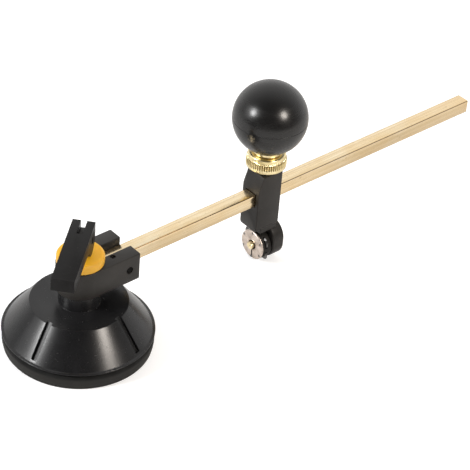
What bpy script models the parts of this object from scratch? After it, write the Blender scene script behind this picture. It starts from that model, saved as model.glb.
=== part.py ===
# Circle cutter: a suction foot with a turning head, a square brass arm,
# and a sliding holder with a ball grip and a turret of six cutting wheels.
# Metres, +Z up. Everything hangs from one empty on the head's turning axis,
# the foot stands on Z = 0 and the arm runs along +X.

from math import acos, atan2, cos, pi, radians, sin, sqrt

import bmesh
import bpy
from mathutils import Matrix, Vector

# General fits and facets
GAP = 0.0003            # clearance between pieces that touch or slide
SMALL_GAP = 0.0002      # clearance in the wheel bores
OVERRUN = 0.002         # how far a cutter passes the face that it opens
MERGE = 0.000001        # points closer than this are one point
SMOOTH_ANGLE = radians(32)
BEVEL_ANGLE = radians(40)
ROUND_STEPS = 64        # facets round a large turned piece
MIDDLE_STEPS = 32
SMALL_STEPS = 20        # facets round a pin or a small hole

# Rubber cup
CUP_RADIUS = 0.0360
CUP_UNDERCUT = 0.0012           # foot of the side inside the cup's radius
CUP_BULGE_Z = 0.0035
CUP_HEIGHT = 0.0079
CUP_RIM = 0.0045                # width of the lip that seals
CUP_LIP_SLOPE = 0.0045          # run of the slope from the lip into the hollow
CUP_HOLLOW = 0.0030
CUP_EDGE = 0.0009

# Plastic shell over the cup
FLANGE_OVERHANG = 0.0003        # flange beyond the cup
FLANGE_THICKNESS = 0.0014
FLANGE_LEDGE = 0.0013           # flange beyond the cone's foot
CONE_TOP_RADIUS = 0.0235
CONE_RISE = 0.0154
CONE_WALL = 0.0025
ROOF_THICKNESS = 0.0022
NECK_RADIUS = 0.0100
NECK_RISE = 0.0076
NECK_FILLET = 0.0006
GROOVE_WIDTH = 0.0021
GROOVE_DEPTH = 0.0008
GROOVE_COUNT = 4
GROOVE_TURN = radians(-164)

# Hollow post that the head turns on, and the disc that keeps the head down
POST_RADIUS = 0.0062
POST_BORE = 0.0034
POST_FLANGE_RADIUS = 0.0090
POST_FLANGE_THICKNESS = 0.0013
DISC_RADIUS = 0.0113
DISC_HEIGHT = 0.0046
DISC_EDGE = 0.0014

# Suction stem, its tongue and the cam lever
LEVER_STROKE = 0.0012           # how far the stem drops when the lever stands up
STEM_RADIUS = 0.0030
STEM_PLATE_RADIUS = 0.0120
STEM_PLATE_THICKNESS = 0.0015
TONGUE_WIDTH = 0.0026
TONGUE_RADIUS = 0.0038
LEVER_PIN_RADIUS = 0.0014
LEVER_TURN = radians(-49)       # turn of the lever about the head's axis
LEVER_WIDTH = 0.0107
LEVER_NOTCH_INNER = 0.0042
CAM_RADIUS = 0.0074             # pin to the disc with the lever down
LEVER_END = CAM_RADIUS - LEVER_STROKE
LEVER_REACH = 0.0395
LEVER_TOP = 0.0061
LEVER_TIP_UNDERSIDE = 0.0002
LEVER_ROOT_UNDERSIDE = 0.0012
LEVER_ROOT = 0.0120
LEVER_FILLET_RADIUS = 0.0030
LEVER_EDGE = 0.0005
PIN_INSET = 0.0003

# Turning head
HEAD_RADIUS = 0.0115
HEAD_HEIGHT = 0.0147
HEAD_REACH = 0.0263
HEAD_EDGE = 0.0006
SLOT_START = 0.0105
SLOT_TAIL_ROOM = 0.0017

# Brass arm, its cross pin and the set screw beside it
BAR_SIDE = 0.0070
BAR_CHAMFER = 0.0004
BAR_START = 0.0135
BAR_END = 0.2530
BAR_COVER = 0.00395             # top of the arm below the top of the head
PIN_FROM_END = 0.0061
ARM_PIN_RADIUS = 0.0013
SET_SCREW_RADIUS = 0.0011
SET_SCREW_LENGTH = 0.0040
SET_SCREW_BACK = 0.0122
SET_SCREW_OUT = 0.0061
SET_SCREW_SINK = 0.0007

# Holder that slides on the arm
HOLDER_X = 0.1115
HOLDER_LENGTH = 0.0135
HOLDER_WIDTH = 0.0129
HOLDER_ABOVE_BAR = 0.01035
HOLDER_BELOW_BAR = 0.01315
HOLDER_CORNER = 0.0024          # rounding of the shank's lower corners
HOLDER_EDGE = 0.0005
BROW_HEIGHT = 0.0075
BROW_SETBACK = 0.00255
BOSS_RADIUS = 0.0085
BOSS_RISE = 0.0024              # how far the boss's round top stands above its round foot
BOSS_LENGTH = 0.0068
BOSS_SETBACK = 0.00995          # boss face behind the holder's front face
BOSS_EDGE = 0.0010
NECK_SHY = 0.0003               # the neck above the boss is this much narrower than the shank
NECK_OVERLAP = 0.0030           # how far the neck runs into the shank and the boss

# Cutter turret with its wheels
WHEEL_COUNT = 6
WHEEL_RADIUS = 0.0027
WHEEL_THICKNESS = 0.0011
WHEEL_EDGE = 0.0004
WHEEL_CIRCLE = 0.0069
WHEEL_PIN_RADIUS = 0.0005
WHEEL_SETBACK = 0.0030          # wheels behind the turret's front face
TURRET_RADIUS = 0.0079
TURRET_LENGTH = 0.0064
TURRET_EDGE = 0.0006
TURRET_RECESS = 0.0008
TURRET_RECESS_RADIUS = 0.0042
AXLE_RADIUS = 0.0018
AXLE_HEAD_RADIUS = 0.0027
AXLE_HEAD_HEIGHT = 0.0012
AXLE_LENGTH = 0.0120
LOCK_SCREW_RADIUS = 0.0014
LOCK_SCREW_LENGTH = 0.0045
LOCK_SCREW_SETBACK = 0.0026
LOCK_SCREW_SLOPE = radians(-12)

# Clamp stud, knurled nut and ball grip
STUD_SETBACK = 0.0010           # stud behind the middle of the holder
STUD_RADIUS = 0.0030
STUD_TOP_ROOM = 0.0100
NUT_COLLAR_RADIUS = 0.0060
NUT_COLLAR_HEIGHT = 0.0028
NUT_RADIUS = 0.0100
NUT_HEIGHT = 0.0052
NUT_CHAMFER = 0.0006
NUT_CAP_RADIUS = 0.0093
NUT_CAP_HEIGHT = 0.0025
KNURL_COUNT = 40
KNURL_DEPTH = 0.0004
INSERT_RADIUS = 0.0075
INSERT_FLANGE = 0.0021
INSERT_SLEEVE_RADIUS = 0.0048
INSERT_DEPTH = 0.0100
BALL_RADIUS = 0.01845
BALL_FLAT_RADIUS = 0.0078
BALL_STEPS = 16

# Levels and places that follow from the sizes above
CUP_FOOT_RADIUS = CUP_RADIUS - CUP_UNDERCUT
CUP_RIM_INNER = CUP_RADIUS - CUP_RIM
CUP_HOLLOW_RADIUS = CUP_RIM_INNER - CUP_LIP_SLOPE
FLANGE_RADIUS = CUP_RADIUS + FLANGE_OVERHANG
CONE_FOOT_RADIUS = FLANGE_RADIUS - FLANGE_LEDGE
FLANGE_Z = CUP_HEIGHT + GAP
CONE_FOOT_Z = FLANGE_Z + FLANGE_THICKNESS
CONE_TOP_Z = CONE_FOOT_Z + CONE_RISE
ROOF_Z = CONE_TOP_Z - ROOF_THICKNESS
NECK_TOP_Z = CONE_TOP_Z + NECK_RISE
HEAD_Z = NECK_TOP_Z + GAP
HEAD_TOP_Z = HEAD_Z + HEAD_HEIGHT
POST_TOP_Z = HEAD_TOP_Z
DISC_Z = HEAD_TOP_Z + GAP
DISC_TOP_Z = DISC_Z + DISC_HEIGHT
LEVER_PIN_Z = DISC_TOP_Z + GAP + CAM_RADIUS
STEM_PLATE_Z = CUP_HEIGHT + GAP + LEVER_STROKE
NOTCH_HALF = TONGUE_WIDTH / 2 + GAP
BAR_HALF = BAR_SIDE / 2
BAR_Z = HEAD_TOP_Z - BAR_COVER - BAR_HALF
BAR_TOP_Z = BAR_Z + BAR_HALF
BAR_FOOT_Z = BAR_Z - BAR_HALF
SLOT_HALF = BAR_HALF + GAP
ARM_PIN_X = HEAD_REACH - PIN_FROM_END
HOLDER_HALF = HOLDER_WIDTH / 2
STUD_X = HOLDER_X + STUD_SETBACK
HOLDER_FRONT_X = HOLDER_X - HOLDER_LENGTH / 2
HOLDER_BACK_X = HOLDER_X + HOLDER_LENGTH / 2
HOLDER_TOP_Z = BAR_TOP_Z + HOLDER_ABOVE_BAR
HOLDER_FOOT_Z = BAR_FOOT_Z - HOLDER_BELOW_BAR
CUTTER_Z = WHEEL_CIRCLE + WHEEL_RADIUS
BOSS_X = HOLDER_FRONT_X + BOSS_SETBACK
TURRET_BACK_X = BOSS_X - GAP
TURRET_FRONT_X = TURRET_BACK_X - TURRET_LENGTH
WHEEL_X = TURRET_FRONT_X + WHEEL_SETBACK
PIN_END_X = WHEEL_X + WHEEL_SETBACK - TURRET_RECESS
NUT_Z = HOLDER_TOP_Z + GAP
NUT_KNURL_Z = NUT_Z + NUT_COLLAR_HEIGHT
NUT_CAP_Z = NUT_KNURL_Z + NUT_HEIGHT
NUT_TOP_Z = NUT_CAP_Z + NUT_CAP_HEIGHT
INSERT_Z = NUT_TOP_Z + GAP
BALL_FOOT_Z = INSERT_Z + INSERT_FLANGE + GAP
BALL_Z = BALL_FOOT_Z + sqrt(BALL_RADIUS ** 2 - BALL_FLAT_RADIUS ** 2)
SLEEVE_TOP_Z = BALL_FOOT_Z + INSERT_DEPTH
STUD_Z = BAR_TOP_Z + GAP
STUD_TOP_Z = SLEEVE_TOP_Z + STUD_TOP_ROOM
FRAME_X = -(BAR_END - FLANGE_RADIUS) / 2

UP = Vector((0, 0, 1))
PLANES = {
    "XY": lambda a, b, h: Vector((a, b, h)),
    "XZ": lambda a, b, h: Vector((a, h, b)),
    "YZ": lambda a, b, h: Vector((h, a, b)),
}


# Helpers
def clear_scene():
    for item in list(bpy.data.objects):
        bpy.data.objects.remove(item, do_unlink=True)


def make_material(name, colour, roughness, metallic):
    material = bpy.data.materials.new(name)
    material.use_nodes = True
    shader = material.node_tree.nodes["Principled BSDF"]
    shader.inputs["Base Color"].default_value = (*colour, 1)
    shader.inputs["Roughness"].default_value = roughness
    shader.inputs["Metallic"].default_value = metallic
    return material


def add_frame(name, place, parent=None):
    frame = bpy.data.objects.new(name, None)
    frame.matrix_local = place
    frame.parent = parent
    bpy.context.scene.collection.objects.link(frame)
    return frame


def add_object(name, shape, frame, origin):
    """Turn a bmesh drawn in its frame's coordinates into an object with its own origin."""
    mesh = bpy.data.meshes.new(name)
    bmesh.ops.translate(shape, vec=-Vector(origin), verts=shape.verts)
    shape.to_mesh(mesh)
    shape.free()
    item = bpy.data.objects.new(name, mesh)
    item.location = origin
    item.parent = frame
    bpy.context.scene.collection.objects.link(item)
    return item


def add_piece(name, shape, material, frame, origin=(0, 0, 0)):
    item = add_object(name, shape, frame, origin)
    item.data.materials.append(material)
    item.data.shade_smooth()
    item.data.set_sharp_from_angle(angle=SMOOTH_ANGLE)
    return item


def combine(piece, name, shape, operation="DIFFERENCE"):
    """Cut a drawn body out of a piece, or unite the two."""
    tool = add_object(name, shape, piece.parent, (0, 0, 0))
    tool.hide_render = True
    tool.display_type = "WIRE"
    step = piece.modifiers.new(name, "BOOLEAN")
    step.operation = operation
    step.solver = "EXACT"
    step.object = tool
    return tool


def round_edges(piece, width, segments=2):
    step = piece.modifiers.new("edges", "BEVEL")
    step.width = width
    step.segments = segments
    step.limit_method = "ANGLE"
    step.angle_limit = BEVEL_ANGLE


def turned(profile, steps=ROUND_STEPS, ring=False):
    """Spin (radius, height) points round Z. A ring's profile closes on itself."""
    shape = bmesh.new()
    points = [shape.verts.new((radius, 0, height)) for radius, height in profile]
    edges = [shape.edges.new(pair) for pair in zip(points, points[1:])]
    if ring:
        edges.append(shape.edges.new((points[-1], points[0])))
    bmesh.ops.spin(shape, geom=points + edges, cent=(0, 0, 0), axis=UP,
                   angle=2 * pi, steps=steps, use_merge=True)
    bmesh.ops.remove_doubles(shape, verts=shape.verts, dist=MERGE)
    bmesh.ops.recalc_face_normals(shape, faces=shape.faces)
    return shape


def prism(outline, plane, low, high):
    """Extrude a closed outline in the named plane from low to high."""
    shape = bmesh.new()
    place = PLANES[plane]
    face = shape.faces.new([shape.verts.new(place(a, b, low)) for a, b in outline])
    grown = bmesh.ops.extrude_face_region(shape, geom=[face])["geom"]
    moving = [part for part in grown if isinstance(part, bmesh.types.BMVert)]
    bmesh.ops.translate(shape, vec=place(0, 0, high - low), verts=moving)
    bmesh.ops.recalc_face_normals(shape, faces=shape.faces)
    return shape


def rod(radius, start, end, steps=SMALL_STEPS):
    """A plain cylinder between two points."""
    start, end = Vector(start), Vector(end)
    length = (end - start).length
    shape = turned([(0, length), (radius, length), (radius, 0), (0, 0)], steps)
    turn = UP.rotation_difference(end - start).to_matrix().to_4x4()
    return placed(shape, Matrix.Translation(start) @ turn)


def placed(shape, matrix):
    shape.transform(matrix)
    return shape


def along_x(shape, x, z):
    """Lay a turned shape along X with its foot at x and its axis at height z."""
    return placed(shape, Matrix.Translation((x, 0, z)) @ Matrix.Rotation(pi / 2, 4, "Y"))


def arc(centre, radius, start, end, steps):
    """Points on an arc, angles in radians from the first axis."""
    turns = [start + (end - start) * step / steps for step in range(steps + 1)]
    return [(centre[0] + radius * cos(turn), centre[1] + radius * sin(turn)) for turn in turns]


def rectangle(low_a, high_a, low_b, high_b):
    return [(low_a, low_b), (high_a, low_b), (high_a, high_b), (low_a, high_b)]


# Suction foot
def build_cup(rubber, frame):
    profile = [
        (0, CUP_HEIGHT),
        (CUP_RADIUS - CUP_EDGE, CUP_HEIGHT),
        (CUP_RADIUS - CUP_EDGE / 3, CUP_HEIGHT - CUP_EDGE),
        (CUP_RADIUS, CUP_BULGE_Z),
        (CUP_FOOT_RADIUS + CUP_EDGE / 3, CUP_EDGE),
        (CUP_FOOT_RADIUS - CUP_EDGE / 3, 0),
        (CUP_RIM_INNER, 0),
        (CUP_HOLLOW_RADIUS, CUP_HOLLOW),
        (0, CUP_HOLLOW),
    ]
    return add_piece("rubber_cup", turned(profile), rubber, frame)


def build_shell(plastic, frame):
    hole = POST_RADIUS + GAP
    cavity_foot = CONE_FOOT_RADIUS - CONE_WALL
    cavity_top = CONE_TOP_RADIUS - CONE_WALL
    corner = (NECK_RADIUS + NECK_FILLET, CONE_TOP_Z + NECK_FILLET)
    profile = [(hole, NECK_TOP_Z), (NECK_RADIUS, NECK_TOP_Z)]
    profile += arc(corner, NECK_FILLET, pi, 3 * pi / 2, 3)
    profile += [
        (CONE_TOP_RADIUS - GAP, CONE_TOP_Z),
        (CONE_TOP_RADIUS, CONE_TOP_Z - GAP),
        (CONE_FOOT_RADIUS, CONE_FOOT_Z),
        (FLANGE_RADIUS - GAP, CONE_FOOT_Z),
        (FLANGE_RADIUS, CONE_FOOT_Z - GAP),
        (FLANGE_RADIUS, FLANGE_Z),
        (cavity_foot, FLANGE_Z),
        (cavity_top, ROOF_Z),
        (hole, ROOF_Z),
    ]
    shell = add_piece("base_shell", turned(profile, ring=True), plastic, frame)
    for number in range(GROOVE_COUNT):
        turn = GROOVE_TURN + 2 * pi * number / GROOVE_COUNT
        groove = placed(build_groove(), Matrix.Rotation(turn, 4, "Z"))
        combine(shell, f"groove_cutter_{number + 1}", groove)
    return shell


def build_groove():
    """A strip that follows the cone's slope and bites into it."""
    run = CONE_FOOT_RADIUS - CONE_TOP_RADIUS
    slope = Vector((run, -CONE_RISE)).normalized()
    out = Vector((-slope.y, slope.x))
    top = Vector((CONE_TOP_RADIUS, CONE_TOP_Z)) - slope * OVERRUN
    low = Vector((CONE_FOOT_RADIUS, CONE_FOOT_Z)) - slope * GROOVE_WIDTH
    corners = [top - out * GROOVE_DEPTH, low - out * GROOVE_DEPTH,
               low + out * OVERRUN, top + out * OVERRUN]
    return prism(corners, "XZ", -GROOVE_WIDTH / 2, GROOVE_WIDTH / 2)


def build_post(steel, frame):
    flange_top = ROOF_Z - GAP
    flange_foot = flange_top - POST_FLANGE_THICKNESS
    profile = [
        (POST_BORE, POST_TOP_Z),
        (POST_RADIUS, POST_TOP_Z),
        (POST_RADIUS, flange_top),
        (POST_FLANGE_RADIUS, flange_top),
        (POST_FLANGE_RADIUS, flange_foot),
        (POST_BORE, flange_foot),
    ]
    return add_piece("pivot_post", turned(profile, MIDDLE_STEPS, ring=True), steel, frame)


def build_disc(yellow, frame):
    bore = STEM_RADIUS + GAP
    corner = (DISC_RADIUS - DISC_EDGE, DISC_TOP_Z - DISC_EDGE)
    profile = [(bore, DISC_TOP_Z)]
    profile += arc(corner, DISC_EDGE, pi / 2, 0, 4)
    profile += [(DISC_RADIUS, DISC_Z + GAP), (DISC_RADIUS - GAP, DISC_Z), (bore, DISC_Z)]
    return add_piece("thrust_disc", turned(profile, ring=True), yellow, frame)


# Stem and cam lever, drawn in the lever's frame: X along its pin, Y away from the handle
def build_stem(steel, frame):
    top = DISC_TOP_Z - LEVER_PIN_Z
    plate = STEM_PLATE_Z - LEVER_PIN_Z
    profile = [
        (0, top),
        (STEM_RADIUS, top),
        (STEM_RADIUS, plate + STEM_PLATE_THICKNESS),
        (STEM_PLATE_RADIUS, plate + STEM_PLATE_THICKNESS),
        (STEM_PLATE_RADIUS, plate),
        (0, plate),
    ]
    stem = add_piece("suction_stem", turned(profile, MIDDLE_STEPS), steel, frame)
    corner = acos(STEM_RADIUS / TONGUE_RADIUS)
    sides = [(STEM_RADIUS, top - OVERRUN)]
    sides += arc((0, 0), TONGUE_RADIUS, corner, pi - corner, 10)
    sides += [(-STEM_RADIUS, top - OVERRUN)]
    tongue = prism(sides, "YZ", -TONGUE_WIDTH / 2, TONGUE_WIDTH / 2)
    combine(stem, "stem_tongue", tongue, "UNION")
    hole = rod(LEVER_PIN_RADIUS + GAP, (-STEM_RADIUS, 0, 0), (STEM_RADIUS, 0, 0))
    combine(stem, "stem_pin_hole", hole)
    return stem


def build_lever_pin(steel, frame):
    reach = LEVER_WIDTH / 2 - PIN_INSET
    pin = rod(LEVER_PIN_RADIUS, (-reach, 0, 0), (reach, 0, 0))
    return add_piece("lever_pin", pin, steel, frame)


def lever_outline():
    """Side view: a cam that grows from the end face to the handle, then the handle."""
    steps = 12
    cam = []
    for step in range(steps + 1):
        share = step / steps
        radius = LEVER_END + LEVER_STROKE * share
        cam.append((radius * cos(pi / 2 * share), -radius * sin(pi / 2 * share)))
    last = pi / 2 + acos((LEVER_ROOT_UNDERSIDE + LEVER_FILLET_RADIUS / 2) / CAM_RADIUS)
    cam += arc((0, 0), CAM_RADIUS, -pi / 2, -last, 8)[1:]
    handle = [
        (-LEVER_ROOT, -LEVER_ROOT_UNDERSIDE),
        (-LEVER_REACH, -LEVER_TIP_UNDERSIDE),
        (-LEVER_REACH, LEVER_TOP),
        (LEVER_END, LEVER_TOP),
    ]
    return cam + handle


def build_lever(plastic, frame):
    half = LEVER_WIDTH / 2
    lever = add_piece("suction_lever", prism(lever_outline(), "YZ", -half, half), plastic, frame)
    round_edges(lever, LEVER_EDGE)
    reach = CAM_RADIUS + OVERRUN
    notch = prism(rectangle(-LEVER_NOTCH_INNER, reach, -reach, reach), "YZ",
                  -NOTCH_HALF, NOTCH_HALF)
    combine(lever, "lever_notch", notch)
    hole = rod(LEVER_PIN_RADIUS + GAP, (-LEVER_WIDTH, 0, 0), (LEVER_WIDTH, 0, 0))
    combine(lever, "lever_hole", hole)
    return lever


# Turning head
def build_head(plastic, frame):
    outline = arc((0, 0), HEAD_RADIUS, pi / 2, 3 * pi / 2, 24)
    outline += [(HEAD_REACH, -HEAD_RADIUS), (HEAD_REACH, HEAD_RADIUS)]
    head = add_piece("swivel_head", prism(outline, "XY", HEAD_Z, HEAD_TOP_Z), plastic, frame)
    round_edges(head, HEAD_EDGE)

    bore = rod(POST_RADIUS + GAP, (0, 0, HEAD_Z - OVERRUN), (0, 0, HEAD_TOP_Z + OVERRUN),
               MIDDLE_STEPS)
    combine(head, "head_bore", bore)

    floor = BAR_FOOT_Z - GAP
    tail_floor = floor - SLOT_TAIL_ROOM
    side = [(SLOT_START, tail_floor), (ARM_PIN_X, tail_floor), (ARM_PIN_X, floor),
            (HEAD_REACH + OVERRUN, floor), (HEAD_REACH + OVERRUN, HEAD_TOP_Z + OVERRUN),
            (SLOT_START, HEAD_TOP_Z + OVERRUN)]
    combine(head, "arm_slot", prism(side, "XZ", -SLOT_HALF, SLOT_HALF))

    reach = HEAD_RADIUS + OVERRUN
    hole = rod(ARM_PIN_RADIUS + GAP, (ARM_PIN_X, -reach, BAR_Z), (ARM_PIN_X, reach, BAR_Z))
    combine(head, "arm_pin_hole", hole)

    top = set_screw_top()
    hole = rod(SET_SCREW_RADIUS + GAP, top - UP * (SET_SCREW_LENGTH + GAP), top + UP * OVERRUN)
    combine(head, "set_screw_hole", hole)
    return head


def build_arm_pin(steel, frame):
    reach = HEAD_RADIUS - PIN_INSET
    pin = rod(ARM_PIN_RADIUS, (ARM_PIN_X, -reach, BAR_Z), (ARM_PIN_X, reach, BAR_Z))
    return add_piece("arm_pin", pin, steel, frame)


def set_screw_top():
    return Vector((HEAD_REACH - SET_SCREW_BACK, -SET_SCREW_OUT, HEAD_TOP_Z - SET_SCREW_SINK))


def build_set_screw(steel, frame):
    top = set_screw_top()
    return add_piece("fork_screw", rod(SET_SCREW_RADIUS, top - UP * SET_SCREW_LENGTH, top),
                     steel, frame)


def build_arm(brass, frame):
    half, cut = BAR_HALF, BAR_CHAMFER
    section = [(-half, -half + cut), (-half + cut, -half), (half - cut, -half), (half, -half + cut),
               (half, half - cut), (half - cut, half), (-half + cut, half), (-half, half - cut)]
    shape = prism([(y, BAR_Z + z) for y, z in section], "YZ", BAR_START, BAR_END)
    arm = add_piece("arm_bar", shape, brass, frame, (ARM_PIN_X, 0, BAR_Z))
    hole = rod(ARM_PIN_RADIUS + GAP, (ARM_PIN_X, -BAR_SIDE, BAR_Z), (ARM_PIN_X, BAR_SIDE, BAR_Z))
    combine(arm, "arm_hole", hole)
    return arm


# Sliding holder
def build_holder(plastic, frame):
    half, corner = HOLDER_HALF, HOLDER_CORNER
    shank = arc((corner - half, HOLDER_FOOT_Z + corner), corner, pi, 3 * pi / 2, 6)
    shank += arc((half - corner, HOLDER_FOOT_Z + corner), corner, 3 * pi / 2, 2 * pi, 6)
    shank += [(half, HOLDER_TOP_Z), (-half, HOLDER_TOP_Z)]
    holder = add_piece("cutter_holder", prism(shank, "YZ", HOLDER_FRONT_X, HOLDER_BACK_X),
                       plastic, frame, (HOLDER_X, 0, BAR_Z))
    round_edges(holder, HOLDER_EDGE)

    tool = combine(holder, "holder_neck", build_neck(), "UNION")
    round_edges(tool, HOLDER_EDGE)
    tool = combine(holder, "cutter_boss", build_boss(), "UNION")
    round_edges(tool, BOSS_EDGE)

    front = HOLDER_FRONT_X - OVERRUN
    brow_z = HOLDER_TOP_Z - BROW_HEIGHT
    lean = BROW_SETBACK / BROW_HEIGHT * OVERRUN
    brow = [(front, brow_z), (HOLDER_FRONT_X, brow_z),
            (HOLDER_FRONT_X + BROW_SETBACK + lean, HOLDER_TOP_Z + OVERRUN),
            (front, HOLDER_TOP_Z + OVERRUN)]
    combine(holder, "brow_cutter", prism(brow, "XZ", -HOLDER_WIDTH, HOLDER_WIDTH))

    window = prism(rectangle(-SLOT_HALF, SLOT_HALF, BAR_FOOT_Z - GAP, BAR_TOP_Z + GAP), "YZ",
                   HOLDER_FRONT_X - OVERRUN, HOLDER_BACK_X + OVERRUN)
    combine(holder, "arm_window", window)

    hole = rod(STUD_RADIUS + GAP, (STUD_X, 0, BAR_Z), (STUD_X, 0, HOLDER_TOP_Z + OVERRUN),
               MIDDLE_STEPS)
    combine(holder, "stud_hole", hole)

    end = TURRET_FRONT_X + AXLE_LENGTH + GAP
    hole = rod(AXLE_RADIUS + GAP, (BOSS_X - OVERRUN, 0, CUTTER_Z), (end, 0, CUTTER_Z))
    combine(holder, "axle_hole", hole)

    outer, inner = lock_screw_ends()
    beyond = outer + (outer - inner).normalized() * OVERRUN
    combine(holder, "lock_screw_hole", rod(LOCK_SCREW_RADIUS + GAP, inner, beyond))
    return holder


def build_neck():
    """A narrow block that joins the boss to the shank, behind the turret."""
    half = HOLDER_HALF - NECK_SHY
    top = CUTTER_Z + BOSS_RISE + BOSS_RADIUS
    sides = rectangle(-half, half, top - NECK_OVERLAP, HOLDER_FOOT_Z + NECK_OVERLAP)
    return prism(sides, "YZ", BOSS_X + NECK_SHY, HOLDER_BACK_X - NECK_SHY)


def build_boss():
    """The foot behind the turret, round above and below."""
    outline = arc((0, CUTTER_Z), BOSS_RADIUS, pi, 2 * pi, 20)
    outline += arc((0, CUTTER_Z + BOSS_RISE), BOSS_RADIUS, 0, pi, 20)
    return prism(outline, "YZ", BOSS_X, BOSS_X + BOSS_LENGTH)


def lock_screw_ends():
    """Outer and inner end of the hole for the screw that locks the turret's axle."""
    way = Vector((0, cos(LOCK_SCREW_SLOPE), sin(LOCK_SCREW_SLOPE)))
    axis = Vector((BOSS_X + LOCK_SCREW_SETBACK, 0, CUTTER_Z))
    return axis + way * (BOSS_RADIUS - PIN_INSET), axis + way * (AXLE_RADIUS + GAP)


def build_lock_screw(steel, frame):
    outer, inner = lock_screw_ends()
    start = outer + (inner - outer).normalized() * LOCK_SCREW_LENGTH
    return add_piece("turret_lock_screw", rod(LOCK_SCREW_RADIUS, start, outer), steel, frame)


# Cutter turret
def wheel_turns():
    """Angles of the six wheels round the turret, the first one straight down."""
    return [2 * pi * number / WHEEL_COUNT - pi / 2 for number in range(WHEEL_COUNT)]


def on_circle(turn, x):
    return Vector((x, WHEEL_CIRCLE * cos(turn), CUTTER_Z + WHEEL_CIRCLE * sin(turn)))


def build_turret(steel, frame):
    edge, recess = TURRET_EDGE, TURRET_RECESS
    hole = AXLE_RADIUS + GAP
    profile = [
        (hole, TURRET_LENGTH),
        (TURRET_RADIUS - edge, TURRET_LENGTH),
        (TURRET_RADIUS, TURRET_LENGTH - edge),
        (TURRET_RADIUS, edge),
        (TURRET_RADIUS - edge, 0),
        (TURRET_RECESS_RADIUS, 0),
        (TURRET_RECESS_RADIUS, recess),
        (hole, recess),
    ]
    shape = along_x(turned(profile, 48, ring=True), TURRET_FRONT_X, CUTTER_Z)
    turret = add_piece("cutter_turret", shape, steel, frame, (TURRET_FRONT_X, 0, CUTTER_Z))
    for number, turn in enumerate(wheel_turns(), start=1):
        swing = Matrix.Translation((WHEEL_X, 0, CUTTER_Z)) @ Matrix.Rotation(turn, 4, "X")
        combine(turret, f"wheel_slot_{number}", placed(build_wheel_slot(), swing))
    for number, turn in enumerate(wheel_turns(), start=1):
        start = on_circle(turn, TURRET_FRONT_X - OVERRUN)
        hole = rod(WHEEL_PIN_RADIUS + SMALL_GAP, start, on_circle(turn, PIN_END_X), 12)
        combine(turret, f"wheel_pin_hole_{number}", hole)
    return turret


def build_wheel_slot():
    """A slot open to the rim, with a round floor about the wheel's centre."""
    half = WHEEL_THICKNESS / 2 + SMALL_GAP
    room = WHEEL_RADIUS + GAP
    floor = arc((WHEEL_CIRCLE, 0), room, pi / 2, 3 * pi / 2, 10)
    edge = TURRET_RADIUS + OVERRUN
    return prism(floor + [(edge, -room), (edge, room)], "YZ", -half, half)


def build_wheel(number, turn, carbide, frame):
    half, edge = WHEEL_THICKNESS / 2, WHEEL_EDGE
    bore = WHEEL_PIN_RADIUS + SMALL_GAP
    centre = on_circle(turn, WHEEL_X)
    profile = [
        (bore, half),
        (WHEEL_RADIUS - edge, half),
        (WHEEL_RADIUS, 0),
        (WHEEL_RADIUS - edge, -half),
        (bore, -half),
    ]
    shape = placed(turned(profile, 24, ring=True),
                   Matrix.Translation(centre) @ Matrix.Rotation(pi / 2, 4, "Y"))
    return add_piece(f"cutting_wheel_{number}", shape, carbide, frame, centre)


def build_wheel_pin(number, turn, steel, frame):
    start = on_circle(turn, TURRET_FRONT_X + SMALL_GAP)
    pin = rod(WHEEL_PIN_RADIUS, start, on_circle(turn, PIN_END_X - SMALL_GAP), 12)
    return add_piece(f"wheel_pin_{number}", pin, steel, frame)


def build_axle(steel, frame):
    head = TURRET_RECESS - GAP - AXLE_HEAD_HEIGHT
    profile = [
        (0, AXLE_LENGTH),
        (AXLE_RADIUS, AXLE_LENGTH),
        (AXLE_RADIUS, head + AXLE_HEAD_HEIGHT),
        (AXLE_HEAD_RADIUS, head + AXLE_HEAD_HEIGHT),
        (AXLE_HEAD_RADIUS, head + GAP),
        (AXLE_HEAD_RADIUS - GAP, head),
        (0, head),
    ]
    shape = along_x(turned(profile, MIDDLE_STEPS), TURRET_FRONT_X, CUTTER_Z)
    return add_piece("turret_screw", shape, steel, frame)


# Clamp and grip
def build_stud(steel, frame):
    shape = rod(STUD_RADIUS, (STUD_X, 0, STUD_Z), (STUD_X, 0, STUD_TOP_Z), MIDDLE_STEPS)
    return add_piece("clamp_stud", shape, steel, frame, (STUD_X, 0, STUD_Z))


def build_nut(brass, frame):
    bore = STUD_RADIUS + GAP
    chamfer = NUT_CHAMFER
    profile = [
        (bore, NUT_TOP_Z),
        (NUT_CAP_RADIUS - chamfer, NUT_TOP_Z),
        (NUT_CAP_RADIUS, NUT_TOP_Z - chamfer),
        (NUT_CAP_RADIUS, NUT_CAP_Z + chamfer),
        (NUT_CAP_RADIUS - chamfer, NUT_CAP_Z),
        (NUT_RADIUS - chamfer, NUT_CAP_Z),
        (NUT_RADIUS, NUT_CAP_Z - chamfer),
        (NUT_RADIUS, NUT_KNURL_Z + chamfer),
        (NUT_RADIUS - chamfer, NUT_KNURL_Z),
        (NUT_COLLAR_RADIUS, NUT_KNURL_Z),
        (NUT_COLLAR_RADIUS, NUT_Z),
        (bore, NUT_Z),
    ]
    shape = turned(profile, 2 * KNURL_COUNT, ring=True)
    for point in shape.verts:
        radius = point.co.xy.length
        step = round(atan2(point.co.y, point.co.x) * KNURL_COUNT / pi)
        if step % 2 and radius > NUT_RADIUS - chamfer / 2:
            point.co.xy *= (radius - KNURL_DEPTH) / radius
    shape = placed(shape, Matrix.Translation((STUD_X, 0, 0)))
    return add_piece("knurled_nut", shape, brass, frame, (STUD_X, 0, NUT_Z))


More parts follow.
